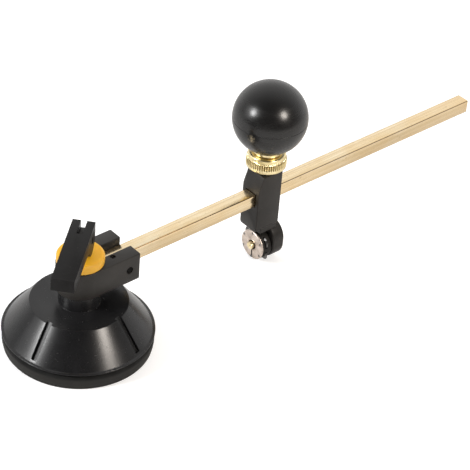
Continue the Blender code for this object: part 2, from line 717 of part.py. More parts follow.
def build_insert(brass, frame):
    bore = STUD_RADIUS + GAP
    flange_top = INSERT_Z + INSERT_FLANGE
    profile = [
        (bore, SLEEVE_TOP_Z),
        (INSERT_SLEEVE_RADIUS, SLEEVE_TOP_Z),
        (INSERT_SLEEVE_RADIUS, flange_top),
        (INSERT_RADIUS, flange_top),
        (INSERT_RADIUS, INSERT_Z),
        (bore, INSERT_Z),
    ]
    shape = placed(turned(profile, MIDDLE_STEPS, ring=True), Matrix.Translation((STUD_X, 0, 0)))
    return add_piece("knob_insert", shape, brass, frame, (STUD_X, 0, INSERT_Z))


def build_ball(plastic, frame):
    start = atan2(BALL_FOOT_Z - BALL_Z, BALL_FLAT_RADIUS)
    sleeve = INSERT_SLEEVE_RADIUS + GAP
    bore = STUD_RADIUS + GAP
    profile = [(0, BALL_Z + BALL_RADIUS)]
    profile += arc((0, BALL_Z), BALL_RADIUS, pi / 2, start, BALL_STEPS)[1:]
    profile += [
        (sleeve, BALL_FOOT_Z),
        (sleeve, SLEEVE_TOP_Z + GAP),
        (bore, SLEEVE_TOP_Z + GAP),
        (bore, STUD_TOP_Z + GAP),
        (0, STUD_TOP_Z + GAP),
    ]
    shape = placed(turned(profile, 48), Matrix.Translation((STUD_X, 0, 0)))
    return add_piece("ball_knob", shape, plastic, frame, (STUD_X, 0, BALL_Z))


def build():
    clear_scene()
    rubber = make_material("rubber", (0.030, 0.028, 0.026), 0.75, 0)
    plastic = make_material("black_plastic", (0.022, 0.022, 0.024), 0.30, 0)
    ball_plastic = make_material("ball_plastic", (0.010, 0.010, 0.010), 0.12, 0)
    yellow = make_material("yellow_plastic", (0.86, 0.42, 0.045), 0.45, 0)
    brass = make_material("brass", (0.82, 0.62, 0.30), 0.32, 1)
    steel = make_material("steel", (0.55, 0.54, 0.52), 0.35, 1)
    carbide = make_material("carbide", (0.30, 0.30, 0.31), 0.30, 1)

    tool_frame = add_frame("tool_frame", Matrix.Translation((FRAME_X, 0, 0)))
    swing = Matrix.Translation((0, 0, LEVER_PIN_Z)) @ Matrix.Rotation(LEVER_TURN, 4, "Z")
    lever_frame = add_frame("lever_frame", swing, tool_frame)

    build_cup(rubber, tool_frame)
    build_shell(plastic, tool_frame)
    build_post(steel, tool_frame)
    build_disc(yellow, tool_frame)
    build_stem(steel, lever_frame)
    build_lever_pin(steel, lever_frame)
    build_lever(plastic, lever_frame)
    build_head(plastic, tool_frame)
    build_arm_pin(steel, tool_frame)
    build_set_screw(steel, tool_frame)
    build_arm(brass, tool_frame)
    build_holder(plastic, tool_frame)
    build_lock_screw(steel, tool_frame)
    build_turret(steel, tool_frame)
    for number, turn in enumerate(wheel_turns(), start=1):
        build_wheel(number, turn, carbide, tool_frame)
        build_wheel_pin(number, turn, steel, tool_frame)
    build_axle(steel, tool_frame)
    build_stud(steel, tool_frame)
    build_nut(brass, tool_frame)
    build_insert(brass, tool_frame)
    build_ball(ball_plastic, tool_frame)


build()
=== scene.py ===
# %% [markdown]
# # A circle cutter in Blender
# This tool draws and scores circles on a pane. A rubber suction foot holds the centre,
# a black head turns on it, and a square brass arm carries a sliding holder. The holder
# has a ball grip above and a turret with six small cutting wheels below.
#
# The exact solids of the tool already exist, so the script loads them as a fixed frame.
# Each cell then dresses one part of it: finer edges, real knurling, and materials made from nodes.

from math import acos, atan2, cos, pi, radians, sin, sqrt

import bmesh
import bpy
from mathutils import Matrix, Vector


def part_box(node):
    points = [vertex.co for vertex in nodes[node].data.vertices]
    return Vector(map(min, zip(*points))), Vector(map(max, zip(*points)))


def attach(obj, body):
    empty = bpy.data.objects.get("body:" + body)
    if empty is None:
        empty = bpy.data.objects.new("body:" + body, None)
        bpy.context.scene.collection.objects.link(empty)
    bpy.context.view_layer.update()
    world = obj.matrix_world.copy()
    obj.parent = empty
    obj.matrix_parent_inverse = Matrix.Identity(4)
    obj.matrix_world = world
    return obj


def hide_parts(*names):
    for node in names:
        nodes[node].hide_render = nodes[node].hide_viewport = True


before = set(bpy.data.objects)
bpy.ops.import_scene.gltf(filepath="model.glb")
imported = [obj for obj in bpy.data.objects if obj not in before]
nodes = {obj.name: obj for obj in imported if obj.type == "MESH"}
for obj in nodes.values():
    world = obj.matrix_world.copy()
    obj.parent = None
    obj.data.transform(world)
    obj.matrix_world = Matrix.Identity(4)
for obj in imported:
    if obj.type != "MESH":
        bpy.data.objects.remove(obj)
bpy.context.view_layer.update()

# %% [markdown]
# ## Sizes from the frame
# The solids know how large the tool is, so the driving sizes are read from their boxes
# and not typed again. Everything is modelled in millimetres round the foot's axis,
# because such numbers are easy to read. Blender itself counts in metres.

# %% Sizes from the frame
MM = 0.001                              # one millimetre in metres
FOOT_X = round(sum(corner.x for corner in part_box("base_shell")) / 2 / MM, 2)


def span(node, axis):
    """Where a solid starts and ends along one axis, in millimetres round the foot's axis."""
    number = "XYZ".index(axis)
    foot_at = (FOOT_X, 0, 0)[number]
    return [round(corner[number] / MM - foot_at, 2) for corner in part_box(node)]


def middle(node, axis):
    return round(sum(span(node, axis)) / 2, 2)


def half_width(node):
    return span(node, "Y")[1]


BAR_HALF, BAR_Z = half_width("arm_bar"), middle("arm_bar", "Z")
STUD_X, CUTTER_Z = middle("clamp_stud", "X"), middle("cutter_turret", "Z")
print("foot's axis at", FOOT_X, "bar at", BAR_Z, "stud at", STUD_X, "turret at", CUTTER_Z)

# %% [markdown]
# ## Camera
# A photograph taken from about one metre with a long lens shows almost parallel edges.
# The camera stands to the left of the tool and looks down at about 37 degrees. It is
# also turned a little about its own line of sight, as a hand-held camera is.
#
# A camera looks along its own -Z axis. So its three axes are worked out as vectors and
# put into a matrix, which is safer than guessing three Euler angles.

# %% Camera
AIM_ALONG, AIM_ASIDE, AIM_HIGH, DISTANCE = 87.56, -8.93, 30.0, 988.5
AZIMUTH, ELEVATION, ROLL = radians(-43.4), radians(36.7), radians(4.95)
SENSOR, FOCAL_IN_PIXELS, PHOTO_WIDTH = 36.0, 2034.8, 470


def show(item):
    """Put an object into the scene."""
    bpy.context.scene.collection.objects.link(item)
    return item


back = Vector((sin(AZIMUTH) * cos(ELEVATION), -cos(AZIMUTH) * cos(ELEVATION), sin(ELEVATION)))
right = (-back).cross(Vector((0, 0, 1))).normalized()
up = right.cross(-back)
right, up = cos(ROLL) * right + sin(ROLL) * up, cos(ROLL) * up - sin(ROLL) * right

lens = bpy.data.cameras.new("camera")
lens.sensor_width = SENSOR
lens.lens = FOCAL_IN_PIXELS / PHOTO_WIDTH * SENSOR
camera = show(bpy.data.objects.new("camera", lens))
aim = Vector((FOOT_X + AIM_ALONG, AIM_ASIDE, AIM_HIGH)) * MM
turn = Matrix((right, up, back)).transposed().to_4x4()
camera.matrix_world = Matrix.Translation(aim + back * DISTANCE * MM) @ turn
bpy.context.scene.camera = camera
print("lens", round(lens.lens, 1), "mm at", DISTANCE, "mm")

# %% [markdown]
# ## Shader maths in plain Python
# A material is a network of nodes. Typing out each Math node hides the idea, so a small
# class wraps a socket and gives it the usual signs. `1 - mask` then adds the right node.
#
# `Nodes` is a tree with one method that adds any node: first its settings, then what goes
# into its sockets, which may be numbers, colours or wires from other nodes.

# %% Shader maths
class Wire:
    """An output socket that can be added, multiplied and so on."""

    def __init__(self, home, socket):
        self.home, self.socket = home, socket

    def maths(self, operation, first, second=0.0):
        return self.home.node("ShaderNodeMath", {"operation": operation}, {0: first, 1: second})

    def __add__(self, other):
        return self.maths("ADD", self, other)

    def __sub__(self, other):
        return self.maths("SUBTRACT", self, other)

    def __rsub__(self, other):
        return self.maths("SUBTRACT", other, self)

    def __mul__(self, other):
        return self.maths("MULTIPLY", self, other)

    __radd__, __rmul__ = __add__, __mul__


class Nodes:
    """A node tree, and one method that adds any node to it."""

    def __init__(self, tree):
        self.tree = tree

    def feed(self, socket, value):
        if isinstance(value, Wire):
            self.tree.links.new(value.socket, socket)
        else:
            socket.default_value = value

    def node(self, kind, settings=(), sockets=(), output=0):
        made = self.tree.nodes.new(kind)
        for name, value in dict(settings).items():
            if name == "stops":
                ramp = made.color_ramp
                while len(ramp.elements) < len(value):
                    ramp.elements.new(0.5)
                for element, (place, colour) in zip(ramp.elements, value):
                    element.position, element.color = place, colour
            else:
                setattr(made, name, value)
        for name, value in dict(sockets).items():
            self.feed(made.inputs[name], value)
        return Wire(self, made.outputs[output])

    def parts(self, vector):
        """The X, Y and Z of a vector, as three wires."""
        made = self.node("ShaderNodeSeparateXYZ", {}, {"Vector": vector})
        return [Wire(self, socket) for socket in made.socket.node.outputs]


print("helpers ready:", Wire.__name__, "and", Nodes.__name__)

# %% [markdown]
# ## A finish
# `Finish` is such a tree inside a material, with a few shorter words for what most of the
# finishes here need: a place on the piece, noise, masks, blends and a relief.

# %% Finish
class Finish(Nodes):
    """A material with a Principled shader."""

    def __init__(self, name, **constants):
        self.material = bpy.data.materials.new(name)
        self.material.use_nodes = True
        super().__init__(self.material.node_tree)
        self.shader = self.tree.nodes["Principled BSDF"]
        for socket, value in constants.items():
            self.shader.inputs[socket.replace("_", " ")].default_value = value

    def place(self, scale=(1, 1, 1), turn=(0, 0, 0), shift=(0, 0, 0)):
        """Object coordinates, stretched, turned and moved in millimetres by a Mapping node."""
        where = self.node("ShaderNodeTexCoord", output="Object")
        return self.node("ShaderNodeMapping", {},
                         {"Vector": where, "Location": Vector(shift) * MM, "Rotation": turn,
                          "Scale": scale})

    def noise(self, where, scale, detail=3.0, roughness=0.55):
        return self.node("ShaderNodeTexNoise", {},
                         {"Vector": where, "Scale": scale, "Detail": detail,
                          "Roughness": roughness}, "Fac")

    def ramp(self, value, *stops):
        """Map a value to grey levels: (place, level) pairs."""
        greys = [(place, (level, level, level, 1)) for place, level in stops]
        return self.node("ShaderNodeValToRGB", {"stops": greys}, {"Fac": value})

    def rise(self, value, low, high):
        """A mask that goes from 0 to 1 between two levels of a value."""
        return self.ramp(value, (low, 0.0), (high, 1.0))

    def fade(self, value, start, end):
        """A mask that goes from 0 to 1 between two lengths in millimetres."""
        return self.node("ShaderNodeMapRange", {}, {"Value": value, "From Min": start * MM,
                                                    "From Max": end * MM})

    def blend(self, mask, first, second):
        """A colour that goes from the first to the second as the mask rises."""
        return self.node("ShaderNodeMix", {"data_type": "RGBA"},
                         {"Factor": mask, 6: first, 7: second}, 2)

    def reach(self, x, y):
        """The distance from an axis, from the two coordinates across it."""
        return x.maths("SQRT", x * x + y * y)

    def bump(self, height, strength, depth):
        """A relief whose full depth is given in millimetres."""
        return self.node("ShaderNodeBump", {}, {"Height": height, "Strength": strength,
                                                "Distance": depth * MM}, "Normal")

    def use(self, **wires):
        for socket, value in wires.items():
            self.feed(self.shader.inputs[socket.replace("_", " ")], value)
        return self.material


print("helper ready:", Finish.__name__)

# %% [markdown]
# ## Black plastic
# The shell, the lever, the head and the holder are moulded in black plastic. Black is
# hard to show, because almost all that the eye gets is what the surface mirrors. The
# base colour stays very dark, and small changes in roughness break up the mirror: a fine
# moulded grain, broad patches from handling, and a few pale specks of dust.
#
# One function makes three finishes. The shell is glossy, the head and the holder are
# satin, and the lever mirrors least.

# %% Black plastic
def black_plastic(name, colour, gloss, grain, mirror):
    finish = Finish(name, Specular_IOR_Level=mirror)
    where = finish.place()
    patches = finish.noise(where, 45.0, 4.0)
    fine = finish.noise(where, 1500.0, 2.0)
    specks = finish.rise(finish.noise(where, 620.0, 1.0), 0.70, 0.78)
    paler = tuple(level * 1.6 + 0.004 for level in colour[:3]) + (1,)
    shade = finish.blend(finish.rise(patches, 0.35, 0.75), colour, paler)
    dusty = finish.blend(specks * 0.12, shade, (0.08, 0.078, 0.074, 1))
    rough = gloss + patches * 0.08 + specks * 0.05 + fine * 0.04
    relief = finish.bump(fine * 0.6 + patches * 0.4, grain, 0.08)
    return finish.use(Base_Color=dusty, Roughness=rough, Normal=relief)


shell_black = black_plastic("glossy_black", (0.0055, 0.0055, 0.006, 1), 0.19, 0.05, 0.34)
head_black = black_plastic("satin_black", (0.0150, 0.0135, 0.0120, 1), 0.33, 0.60, 0.25)
lever_black = black_plastic("lever_black", (0.0080, 0.0078, 0.0078, 1), 0.30, 0.55, 0.07)
print("made", shell_black.name, head_black.name, lever_black.name)

# %% [markdown]
# ## Ball plastic
# The ball grip is moulded from a hard, dense plastic with a silky gloss. It mirrors the
# lamps as soft glowing spots, so its roughness is a little higher than the shell's. Very
# shallow waves and faint smears from hands break it up.

# %% Ball plastic
def ball_plastic():
    finish = Finish("polished_ball", Specular_IOR_Level=0.40)
    waves = finish.noise(finish.place(), 60.0, 2.0)
    smears = finish.noise(finish.place(scale=(1, 1, 3)), 110.0, 5.0)
    shade = finish.blend(smears, (0.006, 0.006, 0.006, 1), (0.012, 0.0115, 0.011, 1))
    rough = 0.25 + finish.rise(smears, 0.45, 0.80) * 0.10
    return finish.use(Base_Color=shade, Roughness=rough, Normal=finish.bump(waves, 0.06, 0.4))


polished_black = ball_plastic()
print("made", polished_black.name)

# %% [markdown]
# ## Rubber
# The cup is soft rubber: nearly black, dull and a little brown, with a dusty bloom. Painted shade
# makes it darkest in the groove under the shell's flange.
# Rubber scatters light, so it is rough everywhere, and a fine pitted bump keeps its
# highlights broad.

# %% Rubber
# painted shade: above these heights the rubber's colour goes nearly black
GROOVE_SHADE_FROM, GROOVE_SHADE_TO = 5.2, 6.6       # the heights between which the groove gets dark


def cup_rubber():
    finish = Finish("cup_rubber", Specular_IOR_Level=0.35)
    where = finish.place()
    bloom = finish.noise(where, 90.0, 5.0, 0.6)
    pits = finish.noise(where, 2200.0, 2.0)
    dust = finish.rise(bloom, 0.40, 0.78)
    shade = finish.blend(dust, (0.0062, 0.0058, 0.0048, 1), (0.019, 0.0175, 0.0145, 1))
    # Painted shade: the colour darkens in the groove under the shell's flange, and the roughness
    # rises there too.
    groove_shade = finish.fade(finish.parts(where)[2], GROOVE_SHADE_FROM, GROOVE_SHADE_TO)
    shaded = finish.blend(groove_shade, shade, (0.0015, 0.0015, 0.0012, 1))
    rough = 0.62 + dust * 0.18 + groove_shade * 0.2
    return finish.use(Base_Color=shaded, Roughness=rough, Normal=finish.bump(pits, 0.55, 0.15))


rubber = cup_rubber()
print("made", rubber.name)

# %% [markdown]
# ## Yellow plastic
# The disc under the lever is a bright egg-yellow moulding. Plastic lets light in a little, so its
# colour glows from inside: a touch of subsurface does that. The lever rubs on it, and darker streaks
# and a finer gloss show where. Its rim is painted darker, as painted shade, so that the rounded edge
# does not look brighter than the top.

# %% Yellow plastic
RIM_SHADE_FROM, RIM_SHADE_TO, STREAK_TURN = 9.8, 11.0, 0.84


def yellow_plastic():
    finish = Finish("yellow_disc", Specular_IOR_Level=0.2, Subsurface_Weight=0.10,
                    Subsurface_Radius=(0.002, 0.001, 0.0003), Subsurface_Scale=0.5)
    where = finish.place()
    mottle = finish.noise(where, 160.0, 4.0)
    streaks = finish.noise(finish.place(scale=(1, 6, 1), turn=(0, 0, STREAK_TURN)), 240.0, 3.0)
    rub = finish.rise(streaks, 0.55, 0.75)
    shade = finish.blend(mottle, (0.94, 0.46, 0.022, 1), (0.97, 0.54, 0.034, 1))
    worn = finish.blend(rub * 0.35, shade, (0.86, 0.40, 0.016, 1))
    # Painted shade: the colour darkens towards the rim, between two distances from the axis.
    x, y, _ = finish.parts(finish.place(shift=(-FOOT_X, 0, 0)))
    rim = finish.fade(finish.reach(x, y), RIM_SHADE_FROM, RIM_SHADE_TO)
    rim_shaded = finish.blend(rim * 0.9, worn, (0.64, 0.35, 0.045, 1))
    rough = 0.36 + mottle * 0.12 - rub * 0.08
    relief = finish.bump(finish.noise(where, 1300.0, 2.0), 0.15, 0.08)
    return finish.use(Base_Color=rim_shaded, Roughness=rough, Normal=relief)


yellow = yellow_plastic()
print("made", yellow.name)

# %% [markdown]
# ## Drawn brass
# The arm is brass that was pulled through a square die. That leaves fine lines along its whole
# length. Noise squeezed across the arm and stretched along it gives such lines: a small scale along
# X and a large one across. Patches of tarnish turn it browner, and the four rounded edges are
# coloured dark brown. A point is on such an edge when its two distances from the bar's middle add up
# to nearly twice the half width.
# The free end, where a hand pushes the arm, is a deeper gold.

# %% Drawn brass
DARK_EDGE_FROM, DARK_EDGE_TO = 2 * BAR_HALF - 0.34, 2 * BAR_HALF - 0.229
GOLD_FROM, GOLD_TO = FOOT_X + 200, FOOT_X + 255


def drawn_brass():
    finish = Finish("drawn_brass", Metallic=1.0)
    lines = finish.noise(finish.place(scale=(6, 900, 900)), 1.0, 4.0, 0.65)
    fine = finish.noise(finish.place(scale=(25, 3200, 3200)), 1.0, 2.0)
    tarnish = finish.noise(finish.place(scale=(1, 2, 2)), 34.0, 5.0, 0.62)
    spots = finish.rise(finish.noise(finish.place(), 420.0, 3.0), 0.64, 0.74)
    shade = finish.blend(finish.rise(tarnish, 0.36, 0.66), (0.84, 0.72, 0.51, 1),
                         (0.78, 0.60, 0.35, 1))
    lined = finish.blend(finish.ramp(lines, (0.42, 0.45), (0.60, 0.0)), shade,
                         (0.60, 0.43, 0.22, 1))
    spotted = finish.blend(spots * 0.4, lined, (0.42, 0.29, 0.15, 1))
    along, y, z = finish.parts(finish.place(shift=(0, 0, -BAR_Z)))
    golden = finish.blend(finish.fade(along, GOLD_FROM, GOLD_TO) * 0.7, spotted,
                          (0.76, 0.55, 0.29, 1))
    corner = finish.fade(y.maths("ABSOLUTE", y) + z.maths("ABSOLUTE", z), DARK_EDGE_FROM, DARK_EDGE_TO)
    edged = finish.blend(corner, golden, (0.11, 0.055, 0.015, 1))
    rough = 0.13 + tarnish * 0.10 + fine * 0.06
    relief = finish.bump(lines * 0.7 + fine * 0.3, 0.30, 0.06)
    return finish.use(Base_Color=edged, Roughness=rough, Normal=relief)


arm_brass = drawn_brass()
print("made", arm_brass.name)

# %% [markdown]
# ## Turned metal
# The nut, the insert, the post, the stud, the turret and its screw were turned on a
# lathe. A turning tool leaves rings round the axis. Rings are noise that reads only the
# distance from the axis and the height along it, so the pattern goes all the way round
# without a seam.
#
# A Mapping node first brings the axis to zero and, for the turret, lays it along Z. The turret was
# blackened and then its face was ground bright again, so its finish changes from bright to black a
# short way behind the face. The grooves of the knurled nut are painted darker, for oil and dirt and
# as painted shade: everything in its band that lies a little nearer to the axis.

# %% Turned metal
GROOVE_FADE, BLACK_FADE = 0.25, 0.125


def turned_metal(name, bright, dull, axis_at, along_arm=False, rough=0.22, black_from=None,
                 grooves=None):
    finish = Finish(name, Metallic=1.0)
    turn = (0, radians(-90), 0) if along_arm else (0, 0, 0)
    centre = -(Matrix.Rotation(turn[1], 3, "Y") @ Vector(axis_at))
    where = finish.place(turn=turn, shift=centre)
    x, y, z = finish.parts(where)
    reach = finish.reach(x, y)
    rings = finish.noise(finish.node("ShaderNodeCombineXYZ", {}, {0: reach, 1: z}), 2600.0, 3.0, 0.6)
    stain = finish.noise(where, 210.0, 5.0, 0.6)
    shade = finish.blend(finish.rise(stain, 0.40, 0.75), bright, dull)
    shade = finish.blend(finish.ramp(rings, (0.40, 0.25), (0.60, 0.0)), shade, dull)
    level = rough + stain * 0.14 + rings * 0.08
    # Painted shade, and oil and dirt as well: the nut's grooves get a darker brass.
    if grooves is not None:
        outer, low, high = grooves
        deep = finish.fade(reach, outer, outer - GROOVE_FADE)
        band = z.maths("GREATER_THAN", z, low * MM) * z.maths("LESS_THAN", z, high * MM)
        shade = finish.blend(deep * band, shade, (0.34, 0.25, 0.09, 1))
    if black_from is not None:
        behind = finish.fade(finish.parts(finish.place())[0], black_from, black_from + BLACK_FADE)
        black = finish.blend(stain, (0.020, 0.019, 0.018, 1), (0.055, 0.052, 0.048, 1))
        shade = finish.blend(behind, shade, black)
        level = level + behind * 0.10
    return finish.use(Base_Color=shade, Roughness=level, Normal=finish.bump(rings, 0.22, 0.05))


print("helper ready:", turned_metal.__name__)

# %% [markdown]
# The same function gives the yellow brass of the nut and the insert, the plain steel of
# the hidden post and the stud, the turret's worn black and the zinc of its screw. The
# nut's grooves lie inside its largest radius, between the two ends of its band.

# %% The turned finishes
NUT_GROOVES, FACE_DEPTH = (9.94, 59.0, 62.0), 0.7
stud_axis, turret_axis = (FOOT_X + STUD_X, 0, 0), (0, 0, CUTTER_Z)
nut_brass = turned_metal("turned_brass", (0.90, 0.77, 0.47, 1), (0.66, 0.53, 0.25, 1),
                         stud_axis, rough=0.17, grooves=NUT_GROOVES)
post_steel = turned_metal("turned_steel", (0.62, 0.61, 0.59, 1), (0.45, 0.44, 0.42, 1),
                          (FOOT_X, 0, 0))
stud_steel = turned_metal("stud_steel", (0.60, 0.59, 0.57, 1), (0.42, 0.41, 0.39, 1), stud_axis)
turret_metal = turned_metal("blackened_turret", (0.74, 0.65, 0.58, 1), (0.32, 0.26, 0.22, 1),
                            turret_axis, along_arm=True, rough=0.36,
                            black_from=FOOT_X + span("cutter_turret", "X")[0] + FACE_DEPTH)
screw_zinc = turned_metal("yellow_zinc", (0.92, 0.82, 0.56, 1), (0.70, 0.58, 0.34, 1),
                          turret_axis, along_arm=True, rough=0.24)
print("made", [m.name for m in (nut_brass, post_steel, stud_steel, turret_metal, screw_zinc)])

# %% [markdown]
# ## Small steel and hard metal
# Pins and set screws are plain or blackened steel, too small for rings to show. The arm's pin is
# coloured nearly black as painted shade, the shade of the hole that it sits in. The cutting wheels
# are ground hard metal, darker than the turret's face. A fine noise in the roughness is enough for
# things of one to five millimetres.

# %% Small steel
def small_metal(name, bright, dull, rough):
    finish = Finish(name, Metallic=1.0)
    where = finish.place()
    stain = finish.noise(where, 700.0, 4.0, 0.6)
    shade = finish.blend(finish.rise(stain, 0.35, 0.70), bright, dull)
    relief = finish.bump(finish.noise(where, 4200.0, 2.0), 0.15, 0.04)
    return finish.use(Base_Color=shade, Roughness=rough + stain * 0.18, Normal=relief)


pin_steel = small_metal("pin_steel", (0.42, 0.41, 0.40, 1), (0.22, 0.21, 0.20, 1), 0.28)
# Painted shade: the arm's pin is coloured nearly black, so that it reads as the shade of its hole.
pin_hole_shade = small_metal("blackened_pin", (0.012, 0.0115, 0.011, 1), (0.006, 0.006, 0.006, 1), 0.5)
screw_black = small_metal("blackened_screw", (0.055, 0.053, 0.052, 1), (0.03, 0.029, 0.028, 1),
                          0.34)
wheel_metal = small_metal("hard_metal", (0.17, 0.165, 0.16, 1), (0.08, 0.078, 0.075, 1), 0.26)
print("made", pin_steel.name, pin_hole_shade.name, screw_black.name, wheel_metal.name)

# %% [markdown]
# ## Outlines, turned pieces and plates
# Most pieces here are either turned or cut from a plate. A turned piece is a half outline
# spun round the Z axis. A plate is an outline drawn in one plane and extruded. Arcs keep
# an outline short, because one centre and one radius give a whole run of points. The two
# rounded corners that most turned pieces have get a word each.

# %% Turned pieces and plates
FULL = 2 * pi
SAME_POINT = 0.0001                     # points closer than this become one
PLANES = {"XZ": lambda a, b, h: Vector((a, h, b)), "YZ": lambda a, b, h: Vector((h, a, b)),
          "XY": lambda a, b, h: Vector((a, b, h))}


def arc(centre, radius, start, end, steps):
    turns = [start + (end - start) * step / steps for step in range(steps + 1)]
    return [(centre[0] + radius * cos(t), centre[1] + radius * sin(t)) for t in turns]


def top_corner(radius, top, edge, steps):
    """A quarter circle from a turned piece's top face to its side."""
    return arc((radius - edge, top - edge), edge, pi / 2, 0, steps)


def low_corner(radius, bottom, edge, steps):
    """A quarter circle from a turned piece's side to its underside."""
    return arc((radius - edge, bottom + edge), edge, 0, -pi / 2, steps)


def box_outline(low_a, high_a, low_b, high_b):
    return [(low_a, low_b), (high_a, low_b), (high_a, high_b), (low_a, high_b)]


def spun(outline, steps, ring=False):
    """Turn a half outline of (radius, height) points round the Z axis."""
    shape = bmesh.new()
    points = [shape.verts.new((radius, 0, height)) for radius, height in outline]
    edges = [shape.edges.new(pair) for pair in zip(points, points[1:])]
    if ring:
        edges.append(shape.edges.new((points[-1], points[0])))
    bmesh.ops.spin(shape, geom=points + edges, cent=(0, 0, 0), axis=(0, 0, 1),
                   angle=FULL, steps=steps, use_merge=True)
    bmesh.ops.remove_doubles(shape, verts=shape.verts, dist=SAME_POINT)
    bmesh.ops.recalc_face_normals(shape, faces=shape.faces)
    return shape


def plate(outline, plane, low, high):
    """Extrude a closed outline from one height to another."""
    shape = bmesh.new()
    face = shape.faces.new([shape.verts.new(PLANES[plane](a, b, low)) for a, b in outline])
    grown = bmesh.ops.extrude_face_region(shape, geom=[face])["geom"]
    moving = [part for part in grown if isinstance(part, bmesh.types.BMVert)]
    bmesh.ops.translate(shape, vec=PLANES[plane](0, 0, high - low), verts=moving)
    bmesh.ops.recalc_face_normals(shape, faces=shape.faces)
    return shape


print("turned pieces merge points within", SAME_POINT, "mm")

# %% [markdown]
# ## Rods, cuts and soft edges
# Holes are rods that are cut away. Cuts are made by a Boolean, which needs two objects,
# so the objects exist only for that moment.
#
# Real edges are never perfectly sharp. A small bevel catches the light along each edge,
# and without it black plastic would look like a hole in the picture.

# %% Rods, cuts and soft edges
PAST = 2                                # how far a cutter reaches past what it cuts
GAP = 0.3                               # the play between two pieces that fit together


def placed(shape, matrix):
    bmesh.ops.transform(shape, matrix=matrix, verts=shape.verts)
    return shape


def shifted(shape, x, y, z):
    return placed(shape, Matrix.Translation((x, y, z)))


def rod(radius, start, end, steps=40):
    """A cylinder between two points."""
    start, end = Vector(start), Vector(end)
    shape = bmesh.new()
    bmesh.ops.create_cone(shape, cap_ends=True, segments=steps, radius1=radius, radius2=radius,
                          depth=(end - start).length)
    turn = Vector((0, 0, 1)).rotation_difference(end - start).to_matrix().to_4x4()
    return placed(shape, Matrix.Translation((start + end) / 2) @ turn)


def carve(shape, tool, operation="DIFFERENCE"):
    """Cut or join two bmeshes through a Boolean modifier on two passing objects."""
    items = []
    for part in (shape, tool):
        mesh = bpy.data.meshes.new("carving")
        part.to_mesh(mesh)
        part.free()
        items.append(show(bpy.data.objects.new("carving", mesh)))
    step = items[0].modifiers.new("cut", "BOOLEAN")
    step.solver, step.operation, step.object = "EXACT", operation, items[1]
    graph = bpy.context.evaluated_depsgraph_get()
    done = bpy.data.meshes.new_from_object(items[0].evaluated_get(graph))
    result = bmesh.new()
    result.from_mesh(done)
    for item in items:
        mesh = item.data
        bpy.data.objects.remove(item)
        bpy.data.meshes.remove(mesh)
    bpy.data.meshes.remove(done)
    return result


def drill(shape, radius, start, end, steps=40):
    return carve(shape, rod(radius, start, end, steps))


def soften(shape, width, segments=3, angle=radians(30), inside=lambda place: True):
    """Bevel every edge that is sharper than the angle and lies inside the wanted region."""
    bmesh.ops.remove_doubles(shape, verts=shape.verts, dist=SAME_POINT)
    bmesh.ops.dissolve_limit(shape, angle_limit=radians(0.5), verts=shape.verts,
                             edges=shape.edges)
    sharp = [edge for edge in shape.edges
             if len(edge.link_faces) == 2 and edge.calc_face_angle() > angle
             and inside((edge.verts[0].co + edge.verts[1].co) / 2)]
    bmesh.ops.bevel(shape, geom=sharp, offset=width, offset_type="OFFSET", affect="EDGES",
                    segments=segments, profile=0.5, material=-1, clamp_overlap=True)
    return shape


print("ready to cut and bevel in the planes", ", ".join(PLANES))

# %% [markdown]
# ## Finished pieces
# Every piece is drawn in millimetres round the foot's axis. This last helper turns it
# into metres in the frame, gives it its material, and lets it ride on its moving body in
# place of the solid that it stands for. Faces that meet at a small angle are shaded
# smoothly, and the others keep a crisp edge.

# %% Finished pieces
def finish_piece(name, shape, body, material, slot, solid, smooth=radians(35)):
    """Make the object, put it on its moving body, and hide the solid it stands for."""
    bmesh.ops.recalc_face_normals(shape, faces=shape.faces)
    placed(shape, Matrix.Scale(MM, 4) @ Matrix.Translation((FOOT_X, 0, 0)))
    mesh = bpy.data.meshes.new(name)
    shape.to_mesh(mesh)
    shape.free()
    mesh.materials.append(material)
    mesh.shade_smooth()
    mesh.set_sharp_from_angle(angle=smooth)
    piece = show(bpy.data.objects.new(name, mesh))
    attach(piece, body)
    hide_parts(solid)
    print(name, "rides on", body, "with", len(mesh.polygons), "faces")
    return piece


print("helper ready:", finish_piece.__name__)

# %% [markdown]
# ## The rubber cup
# The cup is a thick disc of rubber. Its upper edge is well rounded, which leaves a dark
# groove under the shell's flange. Underneath it is hollowed, so that it can be pulled up
# and hold by suction. It is turned from a half outline, with arcs for its edges.

# %% Rubber cup
CUP_RADIUS, CUP_TOP = half_width("rubber_cup"), span("rubber_cup", "Z")[1]
CUP_EDGE, CUP_HEEL, HEEL_IN, TAPER_FROM, TAPER_TO = 2.0, 1.15, 1.6, 3.9, 2.6
RIM_INSIDE, HOLLOW_RADIUS, HOLLOW, SOFT = 31.5, 26.6, 3.0, 0.25
side = top_corner(CUP_RADIUS, CUP_TOP, CUP_EDGE, 10)
side += [(CUP_RADIUS, TAPER_FROM), (CUP_RADIUS - 0.15, TAPER_TO)]
side += arc((CUP_RADIUS - HEEL_IN, CUP_HEEL), CUP_HEEL, radians(10), -pi / 2, 6)
under = [(RIM_INSIDE, 0), (RIM_INSIDE - 0.6, SOFT), (HOLLOW_RADIUS + 0.8, HOLLOW - SOFT),
         (HOLLOW_RADIUS, HOLLOW), (0, HOLLOW)]
cup = spun([(0, CUP_TOP)] + side + under, 160)
finish_piece("cup", cup, "foot", rubber, "rubber", "rubber_cup")

# %% [markdown]
# ## The shell
# A thin flange that slopes inwards below, a cone with a flat top, and a short neck: one
# glossy moulding. Where two faces meet, the mould leaves a tiny rounding. The outline
# runs from the neck's top down the outside and back up the inside.

